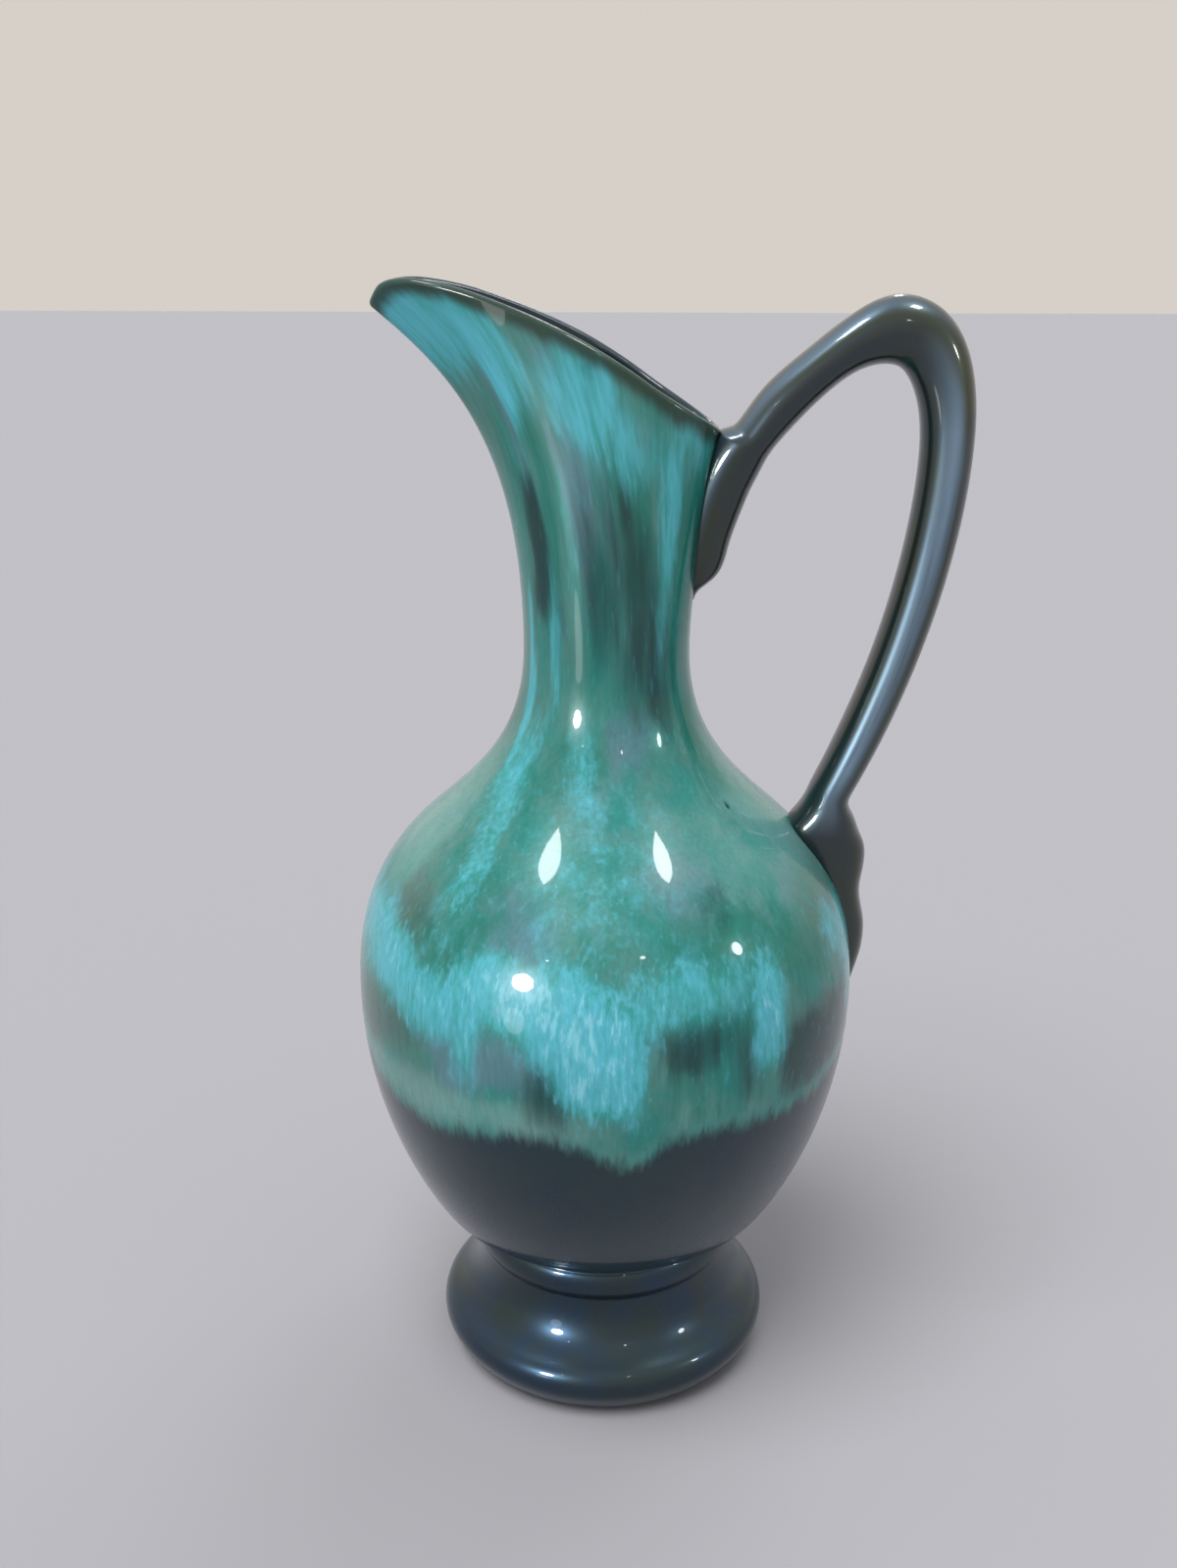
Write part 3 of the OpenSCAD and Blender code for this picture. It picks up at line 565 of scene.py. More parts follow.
# Curve handles as shares of the distances, and the heel as shares of its thickness
CREST_ON, BEND_BACK, BEND_ON, HEEL_BACK = 0.34, 0.41, 0.27, 0.36
HEEL_OUT, HEEL_UP = 1.055, 0.6
SECTION_POINTS, SECTION_POWER, PATH_STEP = 96, 2.1, 0.8


def path_point(out, up):
    """Point by its share of the way out from the rim, and its share of the crest's rise above the rim."""
    return np.array([BACK_REACH + out * (REACH - BACK_REACH), BACK_Z + up * CREST_RISE])


root, arm_top, crest, bend = (
    path_point(*shares) for shares in ((0.112, -0.06), (0.496, 0.79), (0.753, 1), (1, 0.01)))
heel = np.array([TURN[0] + HEEL_OUT * HEEL_T, TURN[1] + HEEL_UP * HEEL_T])


def ease(t):
    """Smooth step: 3t^2 less 2t^3."""
    return t * t * (3 - 2 * t)


def bell(x, middle, width):
    """Bell curve: e to the power of less the square of (x - middle) / width."""
    return np.exp(-(((x - middle) / width) ** 2))


def rounded(c):
    """One coordinate of a rounded rectangle: the cosine or sine to the power 2 / 2.1, with its sign."""
    return np.sign(c) * np.abs(c) ** (2 / SECTION_POWER)


def sections(rows, web):
    """Rounded sections in the XZ plane, from rows of x, z, lean in degrees, thickness, width and flare.

    A flare over 0 widens the side behind the lean, and one under 0 the side ahead of it. The web pushes
    the side behind the lean out by so many mm.
    """
    around = np.linspace(0, 2 * np.pi, SECTION_POINTS, endpoint=False)[None, :]
    x, z, lean, thick, wide, flare = (rows[:, k, None] for k in range(6))
    lean = np.radians(lean)
    out = thick / 2 * rounded(np.cos(around)) - web[:, None] * np.clip(-np.cos(around), 0, 1) ** 2
    widen = 1 + np.abs(flare) * np.clip(-np.sign(flare) * np.cos(around), 0, 1) ** 3
    side = wide / 2 * rounded(np.sin(around)) * widen
    return np.stack([x + out * np.cos(lean), side, z - out * np.sin(lean)], -1)


def stretch(a, b, c, d, thick_a, thick_b, power=1.0, count=70):
    """Path points and thicknesses of one stretch; the thickness eases from one end to the other."""
    t = np.linspace(0, 1, count)
    return np.column_stack([cubic(a, b, c, d, count), thick_a + (thick_b - thick_a) * ease(t**power)])


arm, top, fall, leg = (np.linalg.norm(b - a) for a, b in (
    (root, arm_top), (arm_top, crest), (crest, bend), (bend, heel)))
path = evenly(joined(
    stretch(root, root + leaning(arm / 3, ROOT_LEAN), arm_top - leaning(arm / 3, ARM_LEAN), arm_top,
            ROOT_T, ARM_T, 0.6),
    stretch(arm_top, arm_top + leaning(top / 3, ARM_LEAN), crest - [top / 3, 0], crest, ARM_T, CREST_T, 1.3),
    stretch(crest, crest + [CREST_ON * fall, 0], bend + [0, BEND_BACK * fall], bend, CREST_T, LEG_T),
    stretch(bend, bend - [0, BEND_ON * leg], heel + leaning(HEEL_BACK * leg, HEEL_LEAN), heel,
            LEG_T, HEEL_T, count=150),
), PATH_STEP)
way = np.gradient(path[:, :2], axis=0)
tilts = np.degrees(np.unwrap(np.arctan2(way[:, 0], way[:, 1])))
width_and_flare = np.broadcast_to([STRAP_W, 0.0], (len(path), 2))
strap_rows = np.column_stack([path[:, :2], tilts, path[:, 2], width_and_flare])
print("handle path:", walked(path)[-1].round(1), "mm")

# %% [markdown]
# ## Tongue and tail
# Both ends of the strap are pressed onto the wall. They are sections as well, but
# where a section would reach into the wall, its points are eased out to the
# wall's surface. The easing leaves a small hollow fillet, like wiped slip.


# %% Rows of the two pressed ends
# Depth off the wall, thickness and width by the share of the way down, as shares of the strap's own
TONGUE = (
    [(0.283, 0.8), (0.442, 0.69), (0.616, 0.59), (0.735, 0.555), (0.80, 0.50), (0.845, 0.41), (0.885, 0.28),
     (0.925, 0.14), (0.965, 0.05), (1, 0.01)],
    [(0, 1), (0.13, 1.15), (0.44, 1.1), (0.7, 0.95), (0.82, 0.8), (0.9, 0.5), (1, 0.16)],
    [(0, 1), (0.44, 0.85), (0.7, 0.72), (0.8, 0.63), (0.86, 0.53), (0.93, 0.38), (1, 0.2)],
)
TAIL = (
    [(0.06, 1.78), (0.14, 1.5), (0.22, 1.33), (0.27, 1.17), (0.35, 0.89), (0.45, 0.57), (0.53, 0.48),
     (0.64, 0.46), (0.72, 0.4), (0.8, 0.32), (0.88, 0.2), (0.95, 0.1), (1, 0.02)],
    [(0, 1), (0.12, 1.6), (0.2, 2.1), (0.3, 1.9), (0.45, 1.3), (0.6, 1.1), (0.8, 0.8), (1, 0.2)],
    [(0, 1), (0.2, 1.1), (0.42, 0.95), (0.6, 0.92), (0.78, 0.72), (0.92, 0.42), (1, 0.14)],
)


def eased_out(grid, wall, soft=0.45, sink=0.25):
    """Radius kept outside the wall: wall - sink + soft * log(1 + exp((r - wall + sink) / soft))."""
    r = np.hypot(grid[..., 0], grid[..., 1])
    new = wall - sink + soft * np.logaddexp(0, (r - wall + sink) / soft)
    grid = grid.copy()
    grid[..., :2] *= (new / r)[..., None]
    return grid


def neck_radius(x, y, z):
    """Radius of the neck's outside at a height, on the side of (x, y), by closing in on it six times."""
    side = np.arctan2(y, x)
    turn = side.copy()
    t = np.clip((z - WAIST_Z) / BACK_RISE, 0, 1)
    for _ in range(6):
        p = neck_wall(turn, t)
        turn = turn + side - np.arctan2(p[..., 1], p[..., 0])
        t = np.clip(t + (z - p[..., 2]) / (rim_line(turn)[..., 2] - WAIST_Z), 0, 1)
    p = neck_wall(turn, t)
    return np.hypot(p[..., 0], p[..., 1])


def neck_back(z):
    """Radius of the neck's outside at a height, under the handle."""
    return neck_radius(np.full_like(z, BACK_REACH), 0 * z, z)


def belly_radius(z):
    """Radius of the belly's outside at a height, read from the outline."""
    wall = outline[split_collar:]
    return np.interp(z, wall[:, 1], wall[:, 0])


def across_path(degrees):
    """Directions square to a path that leans by so many degrees; for an upright path it is +X."""
    return np.stack([np.cos(np.radians(degrees)), -np.sin(np.radians(degrees))], -1)


def pressed(edge, drop, wall_at, size, lean, fade, tables, flare, flare_end, count):
    """Rows of x, z, lean, thickness, width and flare of an end, going down its wall from an edge point.

    The lean fades by the power of what is left of the way, and the flare grows until flare_end.
    """
    t = np.linspace(0, 1, count)
    z = edge[1] + drop * t
    depths, thicks, widths = tables
    depths = [(0, edge[0] - wall_at(edge[1]))] + [(a, size * b) for a, b in depths]
    lean = lean * (1 - t) ** fade
    thick = size * smooth_table(thicks, t)
    middle = np.stack([wall_at(z) + smooth_table(depths, t), z], -1) - thick[:, None] / 2 * across_path(lean)
    return np.column_stack([middle, lean, thick, STRAP_W * smooth_table(widths, t),
                            flare * ease(np.clip(t / flare_end, 0, 1))])


root_edge = root + ROOT_T / 2 * across_path(ROOT_LEAN)
heel_edge = heel + HEEL_T / 2 * across_path(HEEL_LEAN)
tongue_rows = pressed(root_edge, BACK_Z - TONGUE_LEN - root_edge[1], neck_back, ROOT_T, ROOT_LEAN, 2,
                      TONGUE, 0.22, 0.3, 120)[::-1]
tail_rows = pressed(heel_edge, -TAIL_LEN, belly_radius, HEEL_T, HEEL_LEAN, 6, TAIL, -0.34, 0.25, 150)
tail_rows[:, 2] += 180
print("rows:", len(tongue_rows), "of the tongue,", len(tail_rows), "of the tail")

# %% [markdown]
# The three lists of rows follow one another, so they are smoothed as one path, and
# only then cut into pieces. No crease is left where the pieces meet, and the ends,
# where the sections close quickly, keep their own shape. The strap swells a little
# on its inner side and is trimmed beside the root, as its outline in the photograph.

# %% One flowing handle, cut in three
EVEN_STEP, FLOW_REACH, LINE_REACH = 0.5, 3.2, 6.0
END_KEPT, END_EASE, RAMP_ROWS, OVERLAP = 4, 6, 16, 8
WEB, WEB_AT, WEB_REACH = 0.3, -3.0, 3.0
TRIM, TRIM_AT, TRIM_REACH = 2.0, 1.0, 9.0
# Swell of the inner side by the way past the root, both in mm
SWELL_AT = [-12, 0, 10, 20, 30, 38, 46, 52, 60, 70, 85, 160, 185]
SWELL_BY = [0, 0.9, 1.4, 1.5, 1.35, 1.6, 1.2, 1.2, 1.4, 1.2, 0.9, 0.7, 0]

rows = joined(tongue_rows, strap_rows, tail_rows)
place_along = walked(rows)
even_rows = evenly(rows, EVEN_STEP)
even_place, soft_rows = walked(even_rows), softened(even_rows, FLOW_REACH)
smooth_rows = np.stack([np.interp(place_along, even_place, soft_rows[:, k]) for k in range(6)], -1)
from_end = np.minimum(place_along, place_along[-1] - place_along)
rows += (smooth_rows - rows) * np.clip((from_end - END_KEPT) / END_EASE, 0, 1)[:, None]

first_cut, last_cut = len(tongue_rows) - 1, len(tongue_rows) + len(strap_rows) - 2
past_root = place_along - place_along[first_cut]
swell = np.interp(past_root, SWELL_AT, SWELL_BY)[:, None]
trim = TRIM * bell(past_root, TRIM_AT, TRIM_REACH) * np.clip((past_root + 2.0) / 3.0, 0, 1)
inward = across_path(rows[:, 2])
outer_line = rows[:, :2] - (rows[:, 3:4] / 2 - trim[:, None]) * inward
inner_line = rows[:, :2] + (rows[:, 3:4] / 2 + swell) * inward
on_strap = slice(first_cut, last_cut + 1)
row_of_strap = np.arange(last_cut + 1 - first_cut)
ramp = np.clip(np.minimum(row_of_strap, row_of_strap[::-1]) / RAMP_ROWS, 0, 1)[:, None]
inner_line[on_strap] += ramp * (softened(inner_line[on_strap], LINE_REACH) - inner_line[on_strap])
across = inner_line - outer_line
rows[:, :2] = (inner_line + outer_line) / 2
rows[:, 2] = np.degrees(np.unwrap(np.arctan2(-across[:, 1], across[:, 0])))
rows[:, 3] = np.linalg.norm(across, axis=1)

handle_grid = sections(rows, WEB * bell(past_root, WEB_AT, WEB_REACH))
on_neck = eased_out(handle_grid, neck_radius(handle_grid[..., 0], handle_grid[..., 1], handle_grid[..., 2]))
on_belly = eased_out(handle_grid, belly_radius(handle_grid[..., 2]), 0.8, 0.4)
row_number = np.arange(len(rows))[:, None, None]
low_on_neck = (row_number <= first_cut + OVERLAP) & (handle_grid[..., 2:] < BACK_Z - 0.5)
handle_grid = np.where(low_on_neck, on_neck, handle_grid)
handle_grid = np.where(row_number >= last_cut - OVERLAP, on_belly, handle_grid)


def handle_piece(name, first, last):
    """Piece of the handle between two rows, with how near the strap's corners are and where the painted sheen
    lies.
    """
    grid = firm_ends(handle_grid[first : last + 1])
    along = firm_ends(place_along[first : last + 1, None])
    around = np.linspace(0, 2 * np.pi, SECTION_POINTS, endpoint=False)[None, :]
    around, along = np.broadcast_arrays(around, along)
    off = np.abs(turned_by(np.degrees(around), 0))
    below_root = along - place_along[first_cut]
    thin_line = np.interp(below_root, [0, 40, 72], [104, 110, 127])
    corner = bell(off, thin_line, 17) + 0.35 * bell(off, 50, 12)
    # Painted sheen: bells across the outside of the arm and the face of the fall, where the lamps' reflection
    # runs along the strap.
    on_arm = np.interp(below_root, [-8, 4, 38, 60], [0, 0.5, 0.5, 0])
    on_fall = np.interp(below_root, [52, 80, 172, 192], [0, 1, 1, 0])
    middle_of_face = np.interp(below_root, [70, 165], [98, 84])
    painted_sheen = bell(off, 140, 20) * on_arm + bell(off, middle_of_face, 21) * on_fall
    flow = np.stack([8 * np.cos(around), 8 * np.sin(around), DRAWN * along], -1)
    return wrapped_mesh(name, grid, {"corner": corner, "painted_sheen": painted_sheen, "flow": flow * MM})


tongue = handle_piece("tongue_glazed", 0, first_cut)
strap = handle_piece("strap_glazed", first_cut, last_cut)
tail = handle_piece("tail_glazed", last_cut, len(rows) - 1)

# %% [markdown]
# ## Which piece stands for which part of the frame
# Every piece rides on the one body, and hides the plainer solid that it follows.

# %% Tie the pieces to the frame
for piece, node in ((foot, "pedestal_foot"), (collar, "collar_ring"), (belly, "belly_shell"),
                    (neck, "neck_and_spout"), (strap, "handle_strap"), (tongue, "neck_tongue"),
                    (tail, "shoulder_tail")):
    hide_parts(node)
    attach(piece, "root")
    print(piece.name, "stands for", node)

# %% [markdown]
# ## Helpers for materials
# Colours are written as they look on screen, from 0 to 255, and turned into the
# linear light that the renderer uses. A short helper adds a node and its inputs.


# %% Colour and node helpers
def screen(red, green, blue):
    """Linear light of a screen colour c: ((c + 0.055) / 1.055)^2.4 for each part, or c / 12.92 if small."""
    c = np.array([red, green, blue]) / 255
    linear = np.where(c < 0.04045, c / 12.92, ((c + 0.055) / 1.055) ** 2.4)
    return (*linear.tolist(), 1.0)


def fill(tree, node, inputs):
    """Links or sets the inputs of a node that a dict names or numbers."""
    for key, value in inputs.items():
        if isinstance(value, bpy.types.NodeSocket):
            tree.links.new(value, node.inputs[key])
        else:
            node.inputs[key].default_value = value
    return node


def add(tree, kind, inputs=None, **settings):
    """Adds a node with its settings and inputs."""
    node = tree.nodes.new(kind)
    for key, value in settings.items():
        setattr(node, key, value)
    return fill(tree, node, inputs or {})


def maths(tree, operation, a, b=0.0, c=0.0):
    """Output of a Math node."""
    return add(tree, "ShaderNodeMath", {0: a, 1: b, 2: c}, operation=operation).outputs[0]


def plus(tree, a, b):
    """a plus b."""
    return maths(tree, "ADD", a, b)


def times(tree, a, b):
    """a times b."""
    return maths(tree, "MULTIPLY", a, b)


def times_plus(tree, a, b, c):
    """a times b, plus c."""
    return maths(tree, "MULTIPLY_ADD", a, b, c)


def less(tree, a, b):
    """a less b."""
    return maths(tree, "SUBTRACT", a, b)


def off_middle(tree, pattern, amount):
    """A pattern less its mean of 0.5, times an amount."""
    return times(tree, less(tree, pattern, 0.5), amount)


def step_between(tree, value, low, high):
    """0 at low, 1 at high, and a smooth step between."""
    made = add(tree, "ShaderNodeMapRange", {"Value": value, "From Min": low, "From Max": high},
               interpolation_type="SMOOTHSTEP")
    return made.outputs["Result"]


def mixed(tree, amount, below, above, most=None):
    """Colour between two colours, by an amount that is first multiplied by most, if that is given."""
    if most is not None:
        amount = times(tree, amount, most)
    return add(tree, "ShaderNodeMix", {0: amount, 6: below, 7: above}, data_type="RGBA").outputs[2]


def new_group(name, inputs, outputs):
    """Empty shader group with named sockets: (name, kind, default) for inputs, (name, kind) for outputs."""
    tree = bpy.data.node_groups.new(name, "ShaderNodeTree")
    for label, kind, value in inputs:
        socket = tree.interface.new_socket(label, in_out="INPUT", socket_type=kind)
        if value is not None:
            socket.default_value = value
    for label, kind in outputs:
        tree.interface.new_socket(label, in_out="OUTPUT", socket_type=kind)
    print("group:", name)
    return tree, tree.nodes.new("NodeGroupInput").outputs, tree.nodes.new("NodeGroupOutput").inputs


def place(tree, group, inputs):
    """Outputs of a group that is placed in a material with its own values."""
    node = tree.nodes.new("ShaderNodeGroup")
    node.node_tree = group
    return fill(tree, node, inputs).outputs


def read(tree, name):
    """Value that is stored with the mesh under a name."""
    made = add(tree, "ShaderNodeAttribute", attribute_name=name)
    return made.outputs["Vector"] if name == "flow" else made.outputs["Fac"]


# %% [markdown]
# ## Fibres in the glaze
# Molten glaze runs straight down, so everything in it is drawn out into fibres:
# broad bands, thin threads and small crystals. The group squeezes the height of
# the pattern's place, so that a plain noise comes out as upright fibres.

# %% Group: fibres
FLOAT, VECTOR, COLOR = "NodeSocketFloat", "NodeSocketVector", "NodeSocketColor"
# Name, squeeze of the height, scale, detail and roughness of each noise
PATTERNS = (
    ("Bands", 0.12, 230.0, 3.0, 0.55),
    ("Threads", 0.14, 950.0, 3.0, 0.60),
    ("Crystals", 0.34, 560.0, 2.0, 0.55),
    ("Clouds", 0.60, 60.0, 4.0, 0.60),
    ("Patches", 0.34, 170.0, 4.0, 0.68),
)
outputs = [(row[0], FLOAT) for row in PATTERNS]
fibres, have, give = new_group("Glaze fibres", [("Place", VECTOR, None)], outputs)
for label, squeeze, scale, detail, rough in PATTERNS:
    squeezed = add(fibres, "ShaderNodeVectorMath", {0: have["Place"], 1: (1.0, 1.0, squeeze)},
                   operation="MULTIPLY")
    noise = add(fibres, "ShaderNodeTexNoise", {"Vector": squeezed.outputs[0], "Scale": scale,
                                               "Detail": detail, "Roughness": rough})
    fibres.links.new(noise.outputs["Fac"], give[label])

# %% [markdown]
# ## One glaze over another
# A run glaze covers what is below in fibres: solid in the middle of a pool, and
# broken up into threads towards its edge.

# %% Group: a layer of glaze
THIN_EDGE = 0.12  # amount below which a glaze fades out altogether
layer, have, give = new_group(
    "Glaze layer",
    [("Below", COLOR, (0, 0, 0, 1)), ("Above", COLOR, (1, 1, 1, 1)), ("Amount", FLOAT, 0.0),
     ("Pattern", FLOAT, 0.5), ("Break-up", FLOAT, 0.8), ("Edge", FLOAT, 0.25), ("Most", FLOAT, 1.0)],
    [("Color", COLOR)],
)
level = plus(layer, have["Amount"], off_middle(layer, have["Pattern"], have["Break-up"]))
cover = step_between(layer, level, less(layer, 0.5, have["Edge"]), plus(layer, 0.5, have["Edge"]))
cover = times(layer, cover, have["Most"])
some = step_between(layer, have["Amount"], 0.0, THIN_EDGE)
layer.links.new(mixed(layer, cover, have["Below"], have["Above"], some), give["Color"])

# %% [markdown]
# ## The skin of the glaze
# Glaze is never quite level: it lies in slow waves and has a fine orange peel,
# which makes the lamps' reflections waver a little.

# %% Group: glaze skin
skin, have, give = new_group("Glaze skin", [("Place", VECTOR, None)], [("Height", FLOAT)])
slow = add(skin, "ShaderNodeTexNoise", {"Vector": have["Place"], "Scale": 38.0, "Detail": 1.0})
fine = add(skin, "ShaderNodeTexNoise", {"Vector": have["Place"], "Scale": 380.0, "Detail": 2.0})
skin.links.new(plus(skin, slow.outputs["Fac"], times(skin, fine.outputs["Fac"], 0.04)), give["Height"])

# %% [markdown]
# ## Crystals in the pale glaze
# Where the turquoise glaze is thick, pale crystals grow in it, a millimetre or two
# wide and drawn out downwards. More of them join up the thicker the glaze is, so
# the amount lowers the level above which the pattern shows.

# %% Group: crystals
crystals, have, give = new_group(
    "Glaze crystals",
    [("Amount", FLOAT, 0.0), ("Crystals", FLOAT, 0.5), ("Threads", FLOAT, 0.5), ("Bands", FLOAT, 0.5),
     ("Level", FLOAT, 0.60), ("Gain", FLOAT, 0.22), ("Softness", FLOAT, 0.05)],
    [("Cover", FLOAT), ("Core", FLOAT)],
)
pattern = times(crystals, have["Crystals"], 0.50)
for name in ("Threads", "Bands"):
    pattern = times_plus(crystals, have[name], 0.25, pattern)
level = less(crystals, have["Level"], times(crystals, have["Amount"], have["Gain"]))
above = less(crystals, pattern, level)
some = step_between(crystals, have["Amount"], 0.02, 0.20)
# Each output grows from and to these many softnesses above the level
for name, start, end in (("Cover", -1.0, 1.0), ("Core", 1.0, 3.0)):
    start, end = (times(crystals, have["Softness"], share) for share in (start, end))
    crystals.links.new(times(crystals, step_between(crystals, above, start, end), some), give[name])


# %% [markdown]
# ## The run glaze of belly and neck
# From the bottom up: the blue-black dip, the green glaze above its hem, patches
# of mauve, olive and deep green where the two mix, and the pale turquoise on top.
# The rim and the inside show the dark dip again.

# %% Material: run glaze
TEAL, GREY_GREEN = screen(30, 138, 128), screen(80, 140, 132)
BRIGHT_TEAL, AQUA_C, AQUA_PALE = screen(44, 168, 160), screen(96, 200, 220), screen(162, 232, 246)
GREEN_C, MAUVE_C, OLIVE_C = screen(10, 120, 104), screen(92, 134, 146), screen(74, 108, 98)
DEEP_C, MILKY_C, RIM_C = screen(20, 58, 60), screen(124, 174, 168), screen(36, 54, 36)
BLUE_BLACK, BLUE_BLACK_B, HEM_C = screen(14, 42, 58), screen(20, 48, 56), screen(78, 150, 146)
# Weight and roughness of the clear coat, on the glaze and on the handle
COAT, HANDLE_COAT = (0.6, 0.035), (1.0, 0.07)
GLAZE_IOR, BODY_SHINE, WAVINESS = 1.5, 0.2, 0.20


def glossy(tree, colour, rough, flow, metal, coat=COAT):
    """The finish itself: a softly rough body under a hard, clear coat, over a wavy surface."""
    height = place(tree, skin, {"Place": flow})["Height"]
    lumps = add(tree, "ShaderNodeBump", {"Strength": WAVINESS, "Distance": MM, "Height": height})
    shader = add(tree, "ShaderNodeBsdfPrincipled", {
        "Base Color": colour, "Roughness": rough, "Metallic": metal, "Normal": lumps.outputs[0],
        "IOR": GLAZE_IOR, "Specular IOR Level": BODY_SHINE, "Coat Weight": coat[0],
        "Coat Roughness": coat[1]})
    add(tree, "ShaderNodeOutputMaterial", {"Surface": shader.outputs[0]})


def new_material(name):
    """Empty node material."""
    made = bpy.data.materials.new(name)
    made.use_nodes = True
    made.node_tree.nodes.clear()
    return made, made.node_tree


def new_glaze(name):
    """Empty material, with the place in the flow of the glaze and its fibres."""
    made, tree = new_material(name)
    flow = read(tree, "flow")
    return made, tree, flow, place(tree, fibres, {"Place": flow})


run_glaze, tree, flow, fibre = new_glaze("run_glaze")
colour = mixed(tree, step_between(tree, fibre["Clouds"], 0.35, 0.65), TEAL, GREY_GREEN)
# Colour, amount, pattern, break-up, edge and most of each glaze, from the lowest up
for above, name, pattern, break_up, edge, most in (
    (MILKY_C, "milky", "Clouds", 1.1, 0.45, 0.80),
    (MAUVE_C, "mauve", "Clouds", 1.1, 0.42, 0.90),
    (OLIVE_C, "olive", "Clouds", 1.1, 0.42, 0.90),
    (GREEN_C, "green", "Bands", 1.3, 0.42, 0.90),
    (DEEP_C, "deep", "Bands", 1.1, 0.40, 0.88),
):
    colour = place(tree, layer, {
        "Below": colour, "Above": above, "Amount": read(tree, name), "Pattern": fibre[pattern],
        "Break-up": break_up, "Edge": edge, "Most": most})["Color"]

# The turquoise: a bright wash below, then crystals, finer on the belly than where the glaze is drawn out
amount, show = read(tree, "aqua"), read(tree, "crystal")
pool = step_between(tree, times_plus(tree, fibre["Bands"], 0.30, amount), 0.16, 0.75)
colour = mixed(tree, pool, colour, BRIGHT_TEAL, 0.85)
high = add(tree, "ShaderNodeSeparateXYZ", {0: flow}).outputs["Z"]
softness = times_plus(tree, step_between(tree, high, 0.150, 0.180), 0.07, 0.065)
aqua = place(tree, crystals, {"Amount": amount, "Crystals": fibre["Crystals"], "Threads": fibre["Threads"],
                              "Bands": fibre["Bands"], "Softness": softness})
colour = place(tree, layer, {"Below": colour, "Above": AQUA_C, "Amount": amount, "Pattern": fibre["Patches"],
                             "Break-up": 2.4, "Edge": 0.55, "Most": 0.66})["Color"]
colour = mixed(tree, aqua["Cover"], colour, AQUA_C, times_plus(tree, show, 0.42, 0.30))
colour = mixed(tree, aqua["Core"], colour, AQUA_PALE, times_plus(tree, show, 0.42, 0.24))
threads = step_between(tree, fibre["Threads"], 0.34, 0.62)
colour = mixed(tree, less(tree, 1.0, threads), colour, DEEP_C, 0.14)
colour = mixed(tree, step_between(tree, fibre["Crystals"], 0.56, 0.76), colour, AQUA_C, 0.16)

# The hem, ragged by the fibres, with a pale line above it and the dip below it
hem = plus(tree, read(tree, "above_hem"), off_middle(tree, fibre["Bands"], 6.5))
hem = plus(tree, hem, off_middle(tree, fibre["Threads"], 5.0))
dark = mixed(tree, step_between(tree, fibre["Clouds"], 0.4, 0.6), BLUE_BLACK, BLUE_BLACK_B)
beside_hem = times(tree, step_between(tree, hem, -1.5, 1.5), step_between(tree, hem, 6.5, 1.5))
beside_hem = times(tree, beside_hem, step_between(tree, fibre["Bands"], 0.36, 0.58))
colour = mixed(tree, beside_hem, colour, HEM_C, 0.50)
colour = mixed(tree, step_between(tree, hem, 3.4, -3.4), colour, dark)

# The rim, where the glaze ran off, and the inside
rim_edge = plus(tree, read(tree, "below_rim"), off_middle(tree, fibre["Bands"], 6.0))
colour = mixed(tree, step_between(tree, rim_edge, 6.0, 1.0), colour, RIM_C, 0.9)
colour = mixed(tree, read(tree, "inside"), colour, dark)
rough = plus(tree, 0.22, times(tree, fibre["Clouds"], 0.12))
glossy(tree, colour, rough, flow, times(tree, read(tree, "deep"), 0.55))

# %% [markdown]
# ## The plain dip of foot and collar
# Below the hem only the blue-black glaze is left. It has the sheen of rough metal,
# so the lamps leave a broad bluish glow round each bright spot. The ring that stood
# on the kiln shelf is bare clay.

# %% Material: dipped foot
CLAY, CLAY_DARK = screen(206, 190, 166), screen(168, 148, 122)
dipped, tree, flow, fibre = new_glaze("dipped_glaze")
bare = read(tree, "bare")
dark = mixed(tree, step_between(tree, fibre["Clouds"], 0.38, 0.62), screen(36, 58, 80), screen(42, 60, 64))
dark = mixed(tree, step_between(tree, fibre["Threads"], 0.64, 0.78), dark, screen(78, 98, 106), 0.30)
grain = add(tree, "ShaderNodeTexNoise", {"Vector": flow, "Scale": 900.0, "Detail": 3.0})
colour = mixed(tree, bare, dark, mixed(tree, grain.outputs["Fac"], CLAY, CLAY_DARK))
rough = plus(tree, 0.32, times(tree, bare, 0.5))
glossy(tree, colour, rough, flow, times_plus(tree, bare, -0.8, 0.8))

# %% [markdown]
# ## The handle
# The same dip, but thinner: it breaks to olive brown along the corners of the
# strap, where it ran off while it was wet. Along the outside of the arm and down the
# fall a steel-blue band is painted in: a painted sheen for the lamps' reflection.

# %% Material: handle glaze
# The pale steel blue is the colour of the painted sheen; the olive brown and the pale specks are the glaze's
# own.
PAINTED_SHEEN_BLUE, OLIVE_BROWN, PALE_SPECK = screen(134, 164, 188), screen(46, 52, 24), screen(88, 96, 86)
handle_glaze, tree, flow, fibre = new_glaze("handle_glaze")
dark = mixed(tree, step_between(tree, fibre["Clouds"], 0.38, 0.62), screen(40, 52, 60), screen(46, 56, 52))
# Painted sheen: a steel-blue band along the arm and the fall stands in for the lamps' reflection on the
# handle.
sheen_amount = times(tree, read(tree, "painted_sheen"), step_between(tree, fibre["Bands"], 0.10, 0.55))
dark = mixed(tree, sheen_amount, dark, PAINTED_SHEEN_BLUE, 0.85)
thin = times(tree, read(tree, "corner"), step_between(tree, fibre["Bands"], 0.34, 0.62))
colour = mixed(tree, thin, dark, OLIVE_BROWN)
colour = mixed(tree, step_between(tree, fibre["Threads"], 0.66, 0.80), colour, PALE_SPECK, 0.25)
rough = plus(tree, 0.31, times(tree, fibre["Clouds"], 0.10))
glossy(tree, colour, rough, flow, 0.85, HANDLE_COAT)

